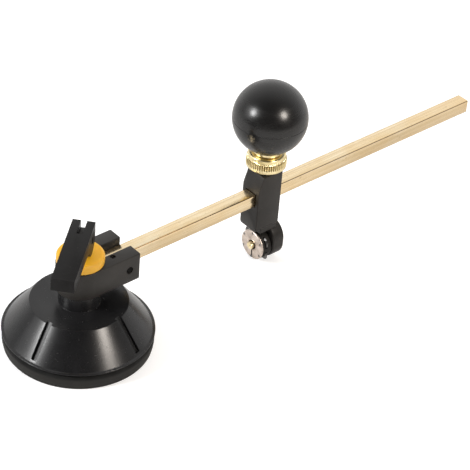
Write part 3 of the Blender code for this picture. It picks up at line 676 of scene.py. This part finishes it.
# %% Shell
SHELL_RADIUS = half_width("base_shell")
FLANGE_Z, NECK_Z = span("base_shell", "Z")
CONE_Z, DECK_Z = 9.6, 25.0
DECK_RADIUS, NECK_RADIUS, POST_BORE, SHELL_WALL = 23.1, 10.0, 6.5, 2.2
CONE_FOOT, WALL_FOOT, WALL_TOP = 35.0, 32.5, 21.0
EDGE, FILLET, CREST = 0.4, 0.15, 0.45
outline = [(POST_BORE, NECK_Z)] + top_corner(NECK_RADIUS, NECK_Z, EDGE, 4)
outline += arc((NECK_RADIUS + FILLET, DECK_Z + FILLET), FILLET, pi, 3 * pi / 2, 4)
outline += arc((DECK_RADIUS, DECK_Z - CREST), CREST, pi / 2, radians(38), 5)
outline += [(CONE_FOOT - 0.3, CONE_Z + 0.55), (CONE_FOOT + 0.05, CONE_Z + 0.12),
            (CONE_FOOT + 0.5, CONE_Z)]
outline += top_corner(SHELL_RADIUS, CONE_Z, EDGE, 4)
outline += [(SHELL_RADIUS, CONE_Z - 0.55), (SHELL_RADIUS - 0.15, CONE_Z - 0.75),
            (SHELL_RADIUS - 1.1, FLANGE_Z), (WALL_FOOT, FLANGE_Z),
            (WALL_TOP, DECK_Z - SHELL_WALL), (POST_BORE, DECK_Z - SHELL_WALL)]
shell = spun(outline, 192, ring=True)
print("shell turned from", len(outline), "points")

# %% [markdown]
# Four grooves run down the cone. They are cut with thin strips that lie along the cone's
# slope and are turned round the axis, and then only the grooves' own edges are softened.

# %% The shell's grooves
GROOVES, GROOVE_WIDTH, GROOVE_DEPTH, FIRST_GROOVE = 4, 3.0, 1.5, radians(-164)
GROOVE_SHORT, GROOVE_SOFT = 1.2, 0.28
crest, foot = Vector((DECK_RADIUS + 0.4, DECK_Z)), Vector((CONE_FOOT, CONE_Z))
slope = (foot - crest).normalized()
outward = Vector((-slope.y, slope.x))
top, low = crest - slope * PAST, foot - slope * GROOVE_SHORT
strip = [top - outward * GROOVE_DEPTH, low - outward * GROOVE_DEPTH, low + outward * PAST,
         top + outward * PAST]
for number in range(GROOVES):
    cutter = plate(strip, "XZ", -GROOVE_WIDTH / 2, GROOVE_WIDTH / 2)
    placed(cutter, Matrix.Rotation(FIRST_GROOVE + FULL / GROOVES * number, 4, "Z"))
    shell = carve(shell, cutter)


def on_cone(place):
    return CONE_Z + 1 < place.z < DECK_Z - 0.6 and place.xy.length > DECK_RADIUS + 0.3


shell = soften(shell, GROOVE_SOFT, 2, inside=on_cone)
finish_piece("shell", shell, "foot", shell_black, "black_plastic", "base_shell")

# %% [markdown]
# ## The yellow disc
# The lever's cam presses on this disc when it pulls the stem up. It is a plain turned
# disc with a hole, but its soft edge is what the eye sees, so the edge is a real arc.

# %% Yellow disc
DISC_RADIUS = half_width("thrust_disc")
DISC_LOW, DISC_HIGH = span("thrust_disc", "Z")
DISC_BORE, DISC_EDGE, DISC_HEEL = 3.4, 1.7, 0.3
disc = [(DISC_BORE, DISC_HIGH)] + top_corner(DISC_RADIUS, DISC_HIGH, DISC_EDGE, 12)
disc += low_corner(DISC_RADIUS, DISC_LOW, DISC_HEEL, 3) + [(DISC_BORE, DISC_LOW)]
finish_piece("disc", spun(disc, 128, ring=True), "foot", yellow, "yellow_plastic", "thrust_disc")

# %% [markdown]
# ## The stem
# The stem lifts the middle of the cup. Its foot is a round plate, and its flat upper end
# is what shows as a dark spot between the prongs of the lever. The rod is turned, the flat
# end is cut from a plate in the lever's own direction, and the two are joined.
#
# The stem and the lever are drawn round the lever's cross pin and then put in place.

# %% Stem
LEVER_PIN_Z, LEVER_TURN = middle("lever_pin", "Z"), radians(-49)
PIN_BORE, CLEAR = 1.7, 9                # CLEAR is outside the lever on every side
lever_place = Matrix.Translation((0, 0, LEVER_PIN_Z)) @ Matrix.Rotation(LEVER_TURN, 4, "Z")
STEM_RADIUS, LIFT_RADIUS, LIFT_LOW, LIFT_HIGH = 3.0, 12.0, 9.4, 10.9
BREAK = 0.15                            # the small chamfer of a turned edge
stem = [(0, DISC_HIGH), (STEM_RADIUS, DISC_HIGH), (STEM_RADIUS, LIFT_HIGH),
        (LIFT_RADIUS - BREAK, LIFT_HIGH), (LIFT_RADIUS, LIFT_HIGH - BREAK),
        (LIFT_RADIUS, LIFT_LOW + BREAK), (LIFT_RADIUS - BREAK, LIFT_LOW), (0, LIFT_LOW)]
stem = shifted(spun(stem, 64), 0, 0, -LEVER_PIN_Z)
print("stem is", LIFT_RADIUS * 2, "mm across at its foot")

# %% [markdown]
# The tongue is drawn from the side: a neck as wide as the rod, a nose on the open side of
# the fork, and a round back about the pin.

# %% The stem's tongue
TONGUE_RADIUS, TONGUE_REACH, TONGUE_FOOT, TONGUE_HALF, NOSE = 3.8, 4.9, -8.2, 1.25, 1.4
SHOULDER_LOW, SHOULDER_HIGH, TONGUE_BACK, TONGUE_SOFT = -3.5, -1.6, radians(218), 0.2
tongue = [(STEM_RADIUS, TONGUE_FOOT), (STEM_RADIUS, SHOULDER_LOW), (TONGUE_REACH, SHOULDER_HIGH)]
tongue += arc((TONGUE_REACH - NOSE, TONGUE_RADIUS - NOSE), NOSE, 0, pi / 2, 6)
tongue += arc((0, 0), TONGUE_RADIUS, pi / 2, TONGUE_BACK, 10)
tongue += [(-STEM_RADIUS, TONGUE_FOOT)]
tongue = soften(plate(tongue, "YZ", -TONGUE_HALF, TONGUE_HALF), TONGUE_SOFT, 2)
stem = carve(stem, tongue, "UNION")
stem = drill(stem, PIN_BORE, (-CLEAR, 0, 0), (CLEAR, 0, 0))
finish_piece("stem", placed(stem, lever_place), "stem", screw_black, "steel", "suction_stem")

# %% [markdown]
# ## The cam lever
# Seen from the side, the lever is a cam and a handle. The cam's radius grows from the
# end face to the underside by 1.2 mm, and that growth lifts the stem when the lever goes
# down. The side view is drawn once, point by point along the spiral, and extruded to the
# lever's width. Then a slot is cut for the stem's tongue, and the edges are softened.

# %% Cam lever
CAM_LOW, CAM_HIGH, CAM_STEPS = 6.2, 7.4, 30
LEVER_HALF, LEVER_TOP, LEVER_END, SLOT_HALF, SLOT_END = 5.35, 6.1, -39.5, 1.45, -4.2
THROAT, THROAT_Z, END_Z, LEVER_SOFT = -12, -1.2, -0.2, 0.5
CAM_EXIT = 2.7                          # how far below the pin the handle leaves the cam
cam = []
for step in range(CAM_STEPS + 1):
    share = step / CAM_STEPS
    radius = CAM_LOW + (CAM_HIGH - CAM_LOW) * share
    cam.append((radius * cos(pi / 2 * share), -radius * sin(pi / 2 * share)))
last = pi / 2 + acos(CAM_EXIT / CAM_HIGH)
cam += arc((0, 0), CAM_HIGH, -pi / 2, -last, 16)[1:]
cam += [(THROAT, THROAT_Z), (LEVER_END, END_Z), (LEVER_END, LEVER_TOP), (CAM_LOW, LEVER_TOP)]
lever = plate(cam, "YZ", -LEVER_HALF, LEVER_HALF)
slot = box_outline(SLOT_END, CLEAR, -CLEAR, CLEAR)
lever = carve(lever, plate(slot, "YZ", -SLOT_HALF, SLOT_HALF))
lever = soften(lever, LEVER_SOFT)
lever = drill(lever, PIN_BORE, (-CLEAR, 0, 0), (CLEAR, 0, 0))
finish_piece("cam_lever", placed(lever, lever_place), "lever", lever_black, "black_plastic",
             "suction_lever")

# %% [markdown]
# ## The head
# A block, round behind and forked in front, that turns on the post. The slot has a step
# in its floor, so that the arm can tilt up about its pin. The block is cut first and
# softened after, so the slot's edges are rounded too.

# %% Head
HEAD_LOW, HEAD_HIGH = span("swivel_head", "Z")
HEAD_RADIUS, HEAD_FRONT = half_width("swivel_head"), span("swivel_head", "X")[1]
PIN_X, ROOM = middle("arm_pin", "X"), BAR_HALF + GAP
FORK_BACK, FLOOR_LOW, HEAD_SOFT = 10.5, 34.65, 0.55
outline = arc((0, 0), HEAD_RADIUS, pi / 2, 3 * pi / 2, 40)
outline += [(HEAD_FRONT, -HEAD_RADIUS), (HEAD_FRONT, HEAD_RADIUS)]
head = plate(outline, "XY", HEAD_LOW, HEAD_HIGH)
steps = [(FORK_BACK, FLOOR_LOW), (PIN_X, FLOOR_LOW), (PIN_X, BAR_Z - ROOM),
         (HEAD_FRONT + PAST, BAR_Z - ROOM), (HEAD_FRONT + PAST, HEAD_HIGH + PAST),
         (FORK_BACK, HEAD_HIGH + PAST)]
head = soften(carve(head, plate(steps, "XZ", -ROOM, ROOM)), HEAD_SOFT)
print("head is", round(HEAD_HIGH - HEAD_LOW, 2), "mm high")

# %% [markdown]
# The round holes come last: the post's bore, the cross hole for the arm's pin with a
# wider mouth on both sides, and the hole for the set screw.

# %% The head's holes
CROSS_BORE, MOUTH, MOUTH_FROM, SCREW_BORE = 1.6, 1.9, 10.9, 1.4
SCREW_X, SCREW_Y = middle("fork_screw", "X"), middle("fork_screw", "Y")
GRUB_LOW, GRUB_HIGH = span("fork_screw", "Z")
outside, above = HEAD_RADIUS + PAST, HEAD_HIGH + PAST
head = drill(head, POST_BORE, (0, 0, HEAD_LOW - PAST), (0, 0, above), 64)
head = drill(head, CROSS_BORE, (PIN_X, -outside, BAR_Z), (PIN_X, outside, BAR_Z), 32)
for side in (-1, 1):
    head = drill(head, MOUTH, (PIN_X, side * MOUTH_FROM, BAR_Z), (PIN_X, side * outside, BAR_Z), 32)
head = drill(head, SCREW_BORE, (SCREW_X, SCREW_Y, GRUB_LOW - GAP), (SCREW_X, SCREW_Y, above), 32)
finish_piece("head", head, "head", head_black, "black_plastic", "swivel_head")

# %% [markdown]
# ## The set screw in the fork
# A headless screw with a hexagon socket sits just below the prong's top. The socket is a
# six-sided prism cut out of a short cylinder whose rim is chamfered.

# %% Set screw
GRUB_RADIUS, SOCKET_RADIUS, SOCKET_DEPTH = 1.1, 0.6, 1.5
grub = [(0, GRUB_HIGH), (GRUB_RADIUS - BREAK, GRUB_HIGH), (GRUB_RADIUS, GRUB_HIGH - BREAK),
        (GRUB_RADIUS, GRUB_LOW), (0, GRUB_LOW)]
socket = rod(SOCKET_RADIUS, (0, 0, GRUB_HIGH - SOCKET_DEPTH), (0, 0, GRUB_HIGH + PAST), 6)
grub = shifted(carve(spun(grub, 32), socket), SCREW_X, SCREW_Y, 0)
finish_piece("set_screw", grub, "head", screw_black, "steel", "fork_screw")

# %% [markdown]
# ## The brass arm
# A square bar is the simplest solid, and so its edges decide how real it looks. Drawn
# bars have a small even rounding along the four long edges and a crisper sawn end.

# %% Brass arm
ARM_START, ARM_END = span("arm_bar", "X")
LONG_EDGE, SAWN_EDGE = 0.35, 0.12
section = box_outline(-BAR_HALF, BAR_HALF, BAR_Z - BAR_HALF, BAR_Z + BAR_HALF)
arm = plate(section, "YZ", ARM_START, ARM_END)
long_edges = [edge for edge in arm.edges
              if abs(edge.verts[0].co.x - edge.verts[1].co.x) > 1]
bmesh.ops.bevel(arm, geom=long_edges, offset=LONG_EDGE, offset_type="OFFSET", affect="EDGES",
                segments=3, profile=0.5, material=-1)
arm = soften(arm, SAWN_EDGE, segments=2, angle=radians(60))
outside = BAR_HALF + PAST
arm = drill(arm, CROSS_BORE, (PIN_X, -outside, BAR_Z), (PIN_X, outside, BAR_Z), 32)
finish_piece("arm", arm, "arm", arm_brass, "brass", "arm_bar")

# %% [markdown]
# ## The holder
# The holder is one moulding: a block with a square window for the arm and a sloping brow
# in front, and a round foot that carries the turret. The foot sits behind the turret, so
# a narrow neck joins it to the block. Each of the three is extruded and softened on its
# own, and then they are joined.

# %% Holder
FRONT_X, REAR_X, BOSS_X, BOSS_LENGTH = 104.1, 118.7, 114.7, 7.2
HALF, TOP_Z, LOW_Z, BROW_Z, BROW_BACK = 6.05, span("cutter_holder", "Z")[1], 22.2, 46.5, 3.23
CORNER, BOSS_R, BOSS_RISE = 1.4, 8.5, 3.2
NECK_IN, NECK_FRONT, NECK_BACK, NECK_LOW, NECK_HIGH = 0.35, 3.5, 0.3, 19.7, 25.2
BLOCK_SOFT, NECK_SOFT, BOSS_SOFT = 0.3, 0.4, 0.9
shank = arc((CORNER - HALF, LOW_Z + CORNER), CORNER, pi, 3 * pi / 2, 10)
shank += arc((HALF - CORNER, LOW_Z + CORNER), CORNER, 3 * pi / 2, FULL, 10)
block = plate(shank + [(HALF, TOP_Z), (-HALF, TOP_Z)], "YZ", FRONT_X, REAR_X)
before, above = FRONT_X - PAST, TOP_Z + PAST
brow = [(before, BROW_Z), (FRONT_X, BROW_Z), (FRONT_X + BROW_BACK, above), (before, above)]
block = carve(block, plate(brow, "XZ", -HALF - PAST, HALF + PAST))
window = box_outline(-ROOM, ROOM, BAR_Z - ROOM, BAR_Z + ROOM)
block = soften(carve(block, plate(window, "YZ", before, REAR_X + PAST)), BLOCK_SOFT)

neck = box_outline(NECK_IN - HALF, HALF - NECK_IN, NECK_LOW, NECK_HIGH)
neck = soften(plate(neck, "YZ", FRONT_X + NECK_FRONT, REAR_X - NECK_BACK), NECK_SOFT)
boss = arc((0, CUTTER_Z), BOSS_R, pi, FULL, 40)
boss += arc((0, CUTTER_Z + BOSS_RISE), BOSS_R, 0, pi, 40)
boss = soften(plate(boss, "YZ", BOSS_X, BOSS_X + BOSS_LENGTH), BOSS_SOFT, 4)
block = carve(carve(block, neck, "UNION"), boss, "UNION")
print("holder is", round(REAR_X - FRONT_X, 2), "mm deep")

# %% [markdown]
# Three round holes are drilled last: one from above for the clamp stud, one along the arm
# for the turret's screw, and a sloping one in the side of the foot for the lock screw.

# %% The holder's holes
STUD_BORE, AXLE_BORE, AXLE_END, LOCK_BORE, LOCK_BACK = 3.3, 2.1, 120.3, 1.7, 2.6
LOCK_SLOPE = radians(-12)
block = drill(block, STUD_BORE, (STUD_X, 0, BAR_Z), (STUD_X, 0, above), 48)
block = drill(block, AXLE_BORE, (BOSS_X - PAST, 0, CUTTER_Z), (AXLE_END, 0, CUTTER_Z))
lock_way = Vector((0, cos(LOCK_SLOPE), sin(LOCK_SLOPE)))
lock_start = Vector((BOSS_X + LOCK_BACK, 0, CUTTER_Z))
block = drill(block, LOCK_BORE, lock_start + lock_way * AXLE_BORE,
              lock_start + lock_way * (BOSS_R + PAST))
finish_piece("holder", block, "holder", head_black, "black_plastic", "cutter_holder")

# %% [markdown]
# ## The lock screw
# A slotted set screw in the side of the foot holds the turret where it was turned to. It
# is made upright at the origin, slotted, and then laid along its hole.

# %% Lock screw
LOCK_RADIUS, LOCK_LENGTH, LOCK_OUT, LOCK_SLOT, LOCK_SLOT_HALF = 1.4, 4.5, 8.2, 0.7, 0.25
lock = [(0, 0), (LOCK_RADIUS - BREAK, 0), (LOCK_RADIUS, -BREAK), (LOCK_RADIUS, -LOCK_LENGTH),
        (0, -LOCK_LENGTH)]
slot = box_outline(-PAST, PAST, -LOCK_SLOT, PAST)
lock = carve(spun(lock, 32), plate(slot, "XZ", -LOCK_SLOT_HALF, LOCK_SLOT_HALF))
lay = Vector((0, 0, 1)).rotation_difference(lock_way).to_matrix().to_4x4()
placed(lock, Matrix.Translation(lock_start + lock_way * LOCK_OUT) @ lay)
finish_piece("lock_screw", lock, "holder", screw_black, "steel", "turret_lock_screw")

# %% [markdown]
# ## The turret
# The turret is a blackened cylinder that carries six wheels, so that a fresh one can be
# turned down when one is blunt. It is turned upright and laid along the arm. A ring on
# its face comes from the lathe.

# %% Turret
TURRET_X, TURRET_BACK = span("cutter_turret", "X")
TURRET_R, THICK = half_width("cutter_turret"), TURRET_BACK - TURRET_X
RECESS, RECESS_DEPTH, RING_OUT, RING_IN, RING_DEPTH = 2.6, 0.8, 3.3, 3.0, 0.15
rounding = [(0.6, 0), (0.3, 0.1), (0.08, 0.3), (0, 0.6)]       # from the face to the rim
rim = [(AXLE_BORE, THICK)]
rim += [(TURRET_R - inward, THICK - deep) for inward, deep in rounding]
rim += [(TURRET_R - inward, deep) for inward, deep in reversed(rounding)]
rim += [(RING_OUT, 0), ((RING_OUT + RING_IN) / 2, RING_DEPTH), (RING_IN, 0),
        (RECESS + BREAK, 0), (RECESS, BREAK), (RECESS, RECESS_DEPTH), (AXLE_BORE, RECESS_DEPTH)]
along_arm = Matrix.Rotation(pi / 2, 4, "Y")
turret_place = Matrix.Translation((TURRET_X, 0, CUTTER_Z))
turret = placed(spun(rim, 96, ring=True), turret_place @ along_arm)
print("turret is", round(THICK, 2), "mm thick")

# %% [markdown]
# Six slots are cut into the rim. Each has a round floor about its wheel's own centre and
# a hole for its pin. A radial groove marks the face over the lowest wheel.

# %% The turret's slots
WHEELS, WHEEL_X, CIRCLE, WHEEL_R = 6, TURRET_X + 3, 6.9, 2.7
SLOT_FLOOR, WHEEL_SLOT, WHEEL_BORE, BORE_END = 3.0, 0.75, 0.7, TURRET_X + 5.2
MARK_FROM, MARK_HALF, MARK_DEPTH, MARK_TURN = 2.2, 0.45, 0.9, radians(-96)
outside = TURRET_R + PAST
wheel_turns = [FULL / WHEELS * number - pi / 2 for number in range(WHEELS)]
for angle in wheel_turns:
    slot = arc((CIRCLE, 0), SLOT_FLOOR, pi / 2, 3 * pi / 2, 20)
    slot += [(outside, -SLOT_FLOOR), (outside, SLOT_FLOOR)]
    slot = plate(slot, "YZ", -WHEEL_SLOT, WHEEL_SLOT)
    placed(slot, Matrix.Translation((WHEEL_X, 0, CUTTER_Z)) @ Matrix.Rotation(angle, 4, "X"))
    turret = carve(turret, slot)
for angle in wheel_turns:
    y, z = CIRCLE * cos(angle), CUTTER_Z + CIRCLE * sin(angle)
    turret = drill(turret, WHEEL_BORE, (TURRET_X - PAST, y, z), (BORE_END, y, z), 20)
mark = plate(box_outline(MARK_FROM, outside, -MARK_HALF, MARK_HALF), "YZ", -PAST, MARK_DEPTH)
placed(mark, turret_place @ Matrix.Rotation(MARK_TURN, 4, "X"))
turret = carve(turret, mark)
finish_piece("turret", turret, "turret", turret_metal, "steel", "cutter_turret")

# %% [markdown]
# ## The turret's screw
# A flat round head with a screwdriver slot stands a little proud of the turret's recess.

# %% Turret screw
HEAD_PROUD, SCREW_HEAD, HEAD_THICK, SHANK, SHANK_END = 1.6, 1.9, 2.1, 1.8, 13.6
SLOT_DEPTH, SLOT_WIDTH, SLOT_TURN = 0.5, 0.4, radians(35)
profile = [(0, 0), (SCREW_HEAD - 0.3, 0), (SCREW_HEAD - 0.08, 0.08), (SCREW_HEAD, 0.3),
           (SCREW_HEAD, HEAD_THICK), (SHANK, HEAD_THICK), (SHANK, SHANK_END), (0, SHANK_END)]
slot = box_outline(-SCREW_HEAD - PAST, SCREW_HEAD + PAST, -PAST, SLOT_DEPTH)
screw = carve(spun(profile, 64), plate(slot, "XZ", -SLOT_WIDTH / 2, SLOT_WIDTH / 2))
placed(screw, Matrix.Rotation(SLOT_TURN, 4, "Z"))
screw = shifted(placed(screw, along_arm), TURRET_X - HEAD_PROUD, 0, CUTTER_Z)
finish_piece("pivot_screw", screw, "turret", screw_zinc, "steel", "turret_screw")

# %% [markdown]
# ## The six wheels
# Each wheel is a small disc ground to a V, like a tiny pizza cutter. They are equal, so
# one function makes them all, and each rides on its own body because each one spins.

# %% Cutting wheels
WHEEL_HALF, FLAT_RADIUS, BLADE_HALF, BLADE_RADIUS = 0.55, 1.9, 0.42, 2.2


def cutting_wheel(number, angle):
    outline = [(WHEEL_BORE, WHEEL_HALF), (FLAT_RADIUS, WHEEL_HALF), (BLADE_RADIUS, BLADE_HALF),
               (WHEEL_R, 0), (BLADE_RADIUS, -BLADE_HALF), (FLAT_RADIUS, -WHEEL_HALF),
               (WHEEL_BORE, -WHEEL_HALF)]
    shape = placed(spun(outline, 48, ring=True), along_arm)
    shifted(shape, WHEEL_X, CIRCLE * cos(angle), CUTTER_Z + CIRCLE * sin(angle))
    return finish_piece(f"wheel_{number}", shape, f"wheel_{number}", wheel_metal, "carbide",
                        f"cutting_wheel_{number}", smooth=radians(20))


wheels = [cutting_wheel(number, angle) for number, angle in enumerate(wheel_turns, start=1)]
print("made", len(wheels), "wheels")

# %% [markdown]
# ## The knurled nut
# A brass nut with a plain collar below, a knurled band for the fingers and a plain ring
# above. The band's ribs run straight up and fade out below. The outline is spun in many
# steps, and then the band's points move inwards in a wave round the axis, once for each
# rib.

# %% Knurled nut
RIBS, RIB_DEPTH, RIB_FOOT, RIB_FULL = 54, 0.6, 58.6, 59.9
NUT_LOW, NUT_HIGH = span("knurled_nut", "Z")
BAND, RING, COLLAR, THREAD, LIP = half_width("knurled_nut"), 9.3, 6.0, 3.3, 0.6
BAND_LOW, BAND_HIGH, RIB_MIDDLE = 57.1, 62.3, 59.2
outline = [(THREAD, NUT_HIGH)] + top_corner(RING, NUT_HIGH, LIP, 5)
outline += arc((RING - LIP, BAND_HIGH + LIP), LIP, 0, radians(-50), 4)
outline += [(BAND - 0.8, BAND_HIGH), (BAND - 0.4, BAND_HIGH - 0.1),
            (BAND - 0.1, BAND_HIGH - 0.4), (BAND, BAND_HIGH - 0.8), (BAND, RIB_FULL),
            (BAND, RIB_MIDDLE), (BAND, RIB_FOOT), (BAND - 0.1, BAND_LOW + 0.4),
            (BAND - 0.4, BAND_LOW + 0.1), (BAND - 1.2, BAND_LOW), (COLLAR, BAND_LOW),
            (COLLAR, NUT_LOW + 0.2), (COLLAR - 0.2, NUT_LOW), (THREAD, NUT_LOW)]
nut = spun(outline, RIBS * 10, ring=True)
for point in nut.verts:
    radius = point.co.xy.length
    wave = 0.5 - 0.5 * cos(atan2(point.co.y, point.co.x) * RIBS)
    full = min(1.0, max(0.0, (point.co.z - RIB_FOOT) / (RIB_FULL - RIB_FOOT)))
    if radius > BAND - 0.55:
        point.co.xy *= (radius - RIB_DEPTH * full * wave) / radius
finish_piece("nut", shifted(nut, STUD_X, 0, 0), "clamp", nut_brass, "brass", "knurled_nut",
             smooth=radians(50))

# %% [markdown]
# ## The insert
# A brass insert is moulded into the ball, and its flange shows as a ring below it.

# %% Insert
INSERT_LOW, INSERT_HIGH = span("knob_insert", "Z")
INSERT_RADIUS, FLANGE, FLANGE_TOP, FLANGE_EDGE = 4.8, half_width("knob_insert"), 67.2, 0.5
insert = [(THREAD, INSERT_HIGH), (INSERT_RADIUS, INSERT_HIGH), (INSERT_RADIUS, FLANGE_TOP)]
insert += top_corner(FLANGE, FLANGE_TOP, FLANGE_EDGE, 4)
insert += low_corner(FLANGE, INSERT_LOW, FLANGE_EDGE, 4) + [(THREAD, INSERT_LOW)]
insert = shifted(spun(insert, 96, ring=True), STUD_X, 0, 0)
finish_piece("insert", insert, "knob", nut_brass, "brass", "knob_insert")

# %% [markdown]
# ## The ball
# The ball is a full turned sphere with a small flat where the insert's flange sits. It
# needs many steps, because a polished sphere shows every facet along its outline. It was
# moulded in two halves, and a fine parting line runs round its middle: a small step in
# the outline before the outline is spun.

# %% Ball
BALL_R, BALL_FLAT, BALL_FOOT = 18.45, 7.8, span("ball_knob", "Z")[0]
BALL_Z = BALL_FOOT + sqrt(BALL_R ** 2 - BALL_FLAT ** 2)
SEAM, SEAM_DEPTH, SEAM_HALF, SUNK = radians(0.55), 0.14, 0.04, 0.02
SOCKET, SOCKET_TOP, BLIND_TOP = INSERT_RADIUS + GAP, INSERT_HIGH + GAP, 87.8
foot_turn = atan2(BALL_FOOT - BALL_Z, BALL_FLAT)
outline = [(0, BALL_Z + BALL_R)] + arc((0, BALL_Z), BALL_R, pi / 2, SEAM, 44)[1:]
outline += [(BALL_R - SEAM_DEPTH, BALL_Z + SEAM_HALF), (BALL_R - SEAM_DEPTH, BALL_Z - SEAM_HALF)]
outline += arc((0, BALL_Z), BALL_R, -SEAM, foot_turn, 36)
outline += [(BALL_FLAT - 0.3, BALL_FOOT - SUNK), (SOCKET, BALL_FOOT - SUNK), (SOCKET, SOCKET_TOP),
            (THREAD, SOCKET_TOP), (THREAD, BLIND_TOP), (0, BLIND_TOP)]
ball = spun(outline, 144)
print("ball is", 2 * BALL_R, "mm across")

# %% [markdown]
# On the parting line the mould was filled, and a small raised ring is left there. One
# short rod is joined to the ball, and a thinner one cuts out its middle.

# %% The ball's scar
SCAR_TURN, SCAR_R, SCAR_HOLE, ROOT, RISE, DEPTH = radians(204.5), 0.9, 0.6, 0.4, 0.05, 0.3
outward = Vector((cos(SCAR_TURN), sin(SCAR_TURN), 0))
scar = Vector((0, 0, BALL_Z)) + outward * BALL_R
ball = carve(ball, rod(SCAR_R, scar - outward * ROOT, scar + outward * RISE, 24), "UNION")
ball = drill(ball, SCAR_HOLE, scar - outward * DEPTH, scar + outward * PAST, 24)
finish_piece("ball", shifted(ball, STUD_X, 0, 0), "knob", polished_black, "ball_plastic",
             "ball_knob")

# %% [markdown]
# ## Finishes for the solids that stay
# The post, the pins and the stud are plain turned rods, and their solids are
# right as they are. They only need their metal.

# %% Finishes for the plain rods
plain = {"pivot_post": post_steel, "lever_pin": screw_black,
         "arm_pin": pin_hole_shade, "clamp_stud": stud_steel}
plain.update({f"wheel_pin_{number}": pin_steel for number in range(1, WHEELS + 1)})
for name, material in plain.items():
    nodes[name].data.materials.clear()
    nodes[name].data.materials.append(material)
print("finished", len(plain), "plain rods")

# %% [markdown]
# ## Floor
# The tool stands on a white sweep, as in a catalogue. The floor has to catch the soft
# shadow and still look white, so its material adds a little light of its own, but only
# for rays that come straight from the camera or from a mirror-like reflection. The lamps
# stay at a plain level, and no colour on the tool is burnt out.

# %% Floor
FLOOR_HALF, SEEN_GLOW, MIRRORED_GLOW = 600, 0.45, 0.12


def floor_paper():
    finish = Finish("white_paper", Roughness=0.9, Specular_IOR_Level=0.1, Emission_Strength=1.0)
    grain = finish.noise(finish.place(), 300.0, 3.0)
    shade = finish.blend(grain, (0.75, 0.75, 0.75, 1), (0.78, 0.78, 0.78, 1))
    seen = finish.node("ShaderNodeLightPath", output="Is Camera Ray")
    mirrored = finish.node("ShaderNodeLightPath", output="Is Glossy Ray")
    glow = seen * SEEN_GLOW + mirrored * MIRRORED_GLOW
    return finish.use(Base_Color=shade, Emission_Color=glow)


sheet = bmesh.new()
bmesh.ops.create_grid(sheet, x_segments=1, y_segments=1, size=FLOOR_HALF * MM)
floor_mesh = bpy.data.meshes.new("floor")
sheet.to_mesh(floor_mesh)
sheet.free()
floor_mesh.materials.append(floor_paper())
floor = show(bpy.data.objects.new("floor", floor_mesh))
print("floor", round(floor.dimensions.x, 2), "m wide")

# %% [markdown]
# ## Lamps
# Two soft lamps stand left and right of the camera, a little above it. Their places come
# from the two soft spots on the ball in the photograph: a mirror ball shows where each
# lamp is. The right one is a little warmer. A wider, dimmer one on the far left spreads
# the light on the shell's cone. Each lamp's way is given in the camera's own axes: to the
# right, up and back. Distances and sizes are in metres and powers in watts.

# %% Lamps
def lamp(name, way, distance, size, power, colour=(1, 1, 1)):
    """A round lamp on a line from the aim, turned to face it."""
    data = bpy.data.lights.new(name, "AREA")
    data.shape, data.size, data.energy, data.color = "DISK", size, power, colour
    item = show(bpy.data.objects.new(name, data))
    toward = (right * way[0] + up * way[1] + back * way[2]).normalized()
    item.location = aim + toward * distance
    item.rotation_euler = toward.to_track_quat("Z", "Y").to_euler()
    return item


lamps = [lamp("left_lamp", (-0.775, 0.245, 0.62), 1.1, 0.30, 9.5),
         lamp("right_lamp", (0.665, 0.125, 0.78), 0.8, 0.24, 4.5, (1, 0.92, 0.84)),
         lamp("side_lamp", (-0.90, 0.25, 0.36), 1.2, 0.60, 1.3)]
print(len(lamps), "lamps with", round(sum(item.data.energy for item in lamps), 1), "watts")

# %% [markdown]
# ## The room
# The room is bright behind the tool, where the white backdrop is, and dim on the camera's
# side. So the world's brightness depends on the direction of the ray. For the camera
# itself the world is plain white. View Standard shows colours as written.

# %% Room
DIM, BRIGHT, DIM_UNTIL, BRIGHT_FROM = 0.06, 1.15, -0.5, 0.75

world = bpy.data.worlds.new("room")
world.use_nodes = True
room = Nodes(world.node_tree)
ray = room.node("ShaderNodeTexCoord", output="Generated")
behind = Vector((-back.x, -back.y, 0)).normalized()
facing = room.node("ShaderNodeVectorMath", {"operation": "DOT_PRODUCT"}, {0: ray, 1: behind},
                   "Value")
level = room.node("ShaderNodeMapRange", {"interpolation_type": "SMOOTHSTEP"},
                  {"Value": facing, "From Min": DIM_UNTIL, "From Max": BRIGHT_FROM,
                   "To Min": DIM, "To Max": BRIGHT})
walls = room.node("ShaderNodeBackground", {}, {"Color": (1, 0.99, 0.98, 1), "Strength": level})
white = room.node("ShaderNodeBackground", {}, {"Color": (1, 1, 1, 1)})
seen = room.node("ShaderNodeLightPath", output="Is Camera Ray")
through = room.node("ShaderNodeLightPath", output="Is Transmission Ray")
mix = room.node("ShaderNodeMixShader", {}, {0: seen.maths("MAXIMUM", seen, through),
                                            1: walls, 2: white})
room.feed(world.node_tree.nodes["World Output"].inputs["Surface"], mix)
bpy.context.scene.world = world
bpy.context.scene.view_settings.view_transform = "Standard"
print("the room goes from", DIM, "to", BRIGHT)

# %% [markdown]
# ## The end
# The dressed model has to be as large as the solids it came from.

# %% Finish the scene
print("scene ready")
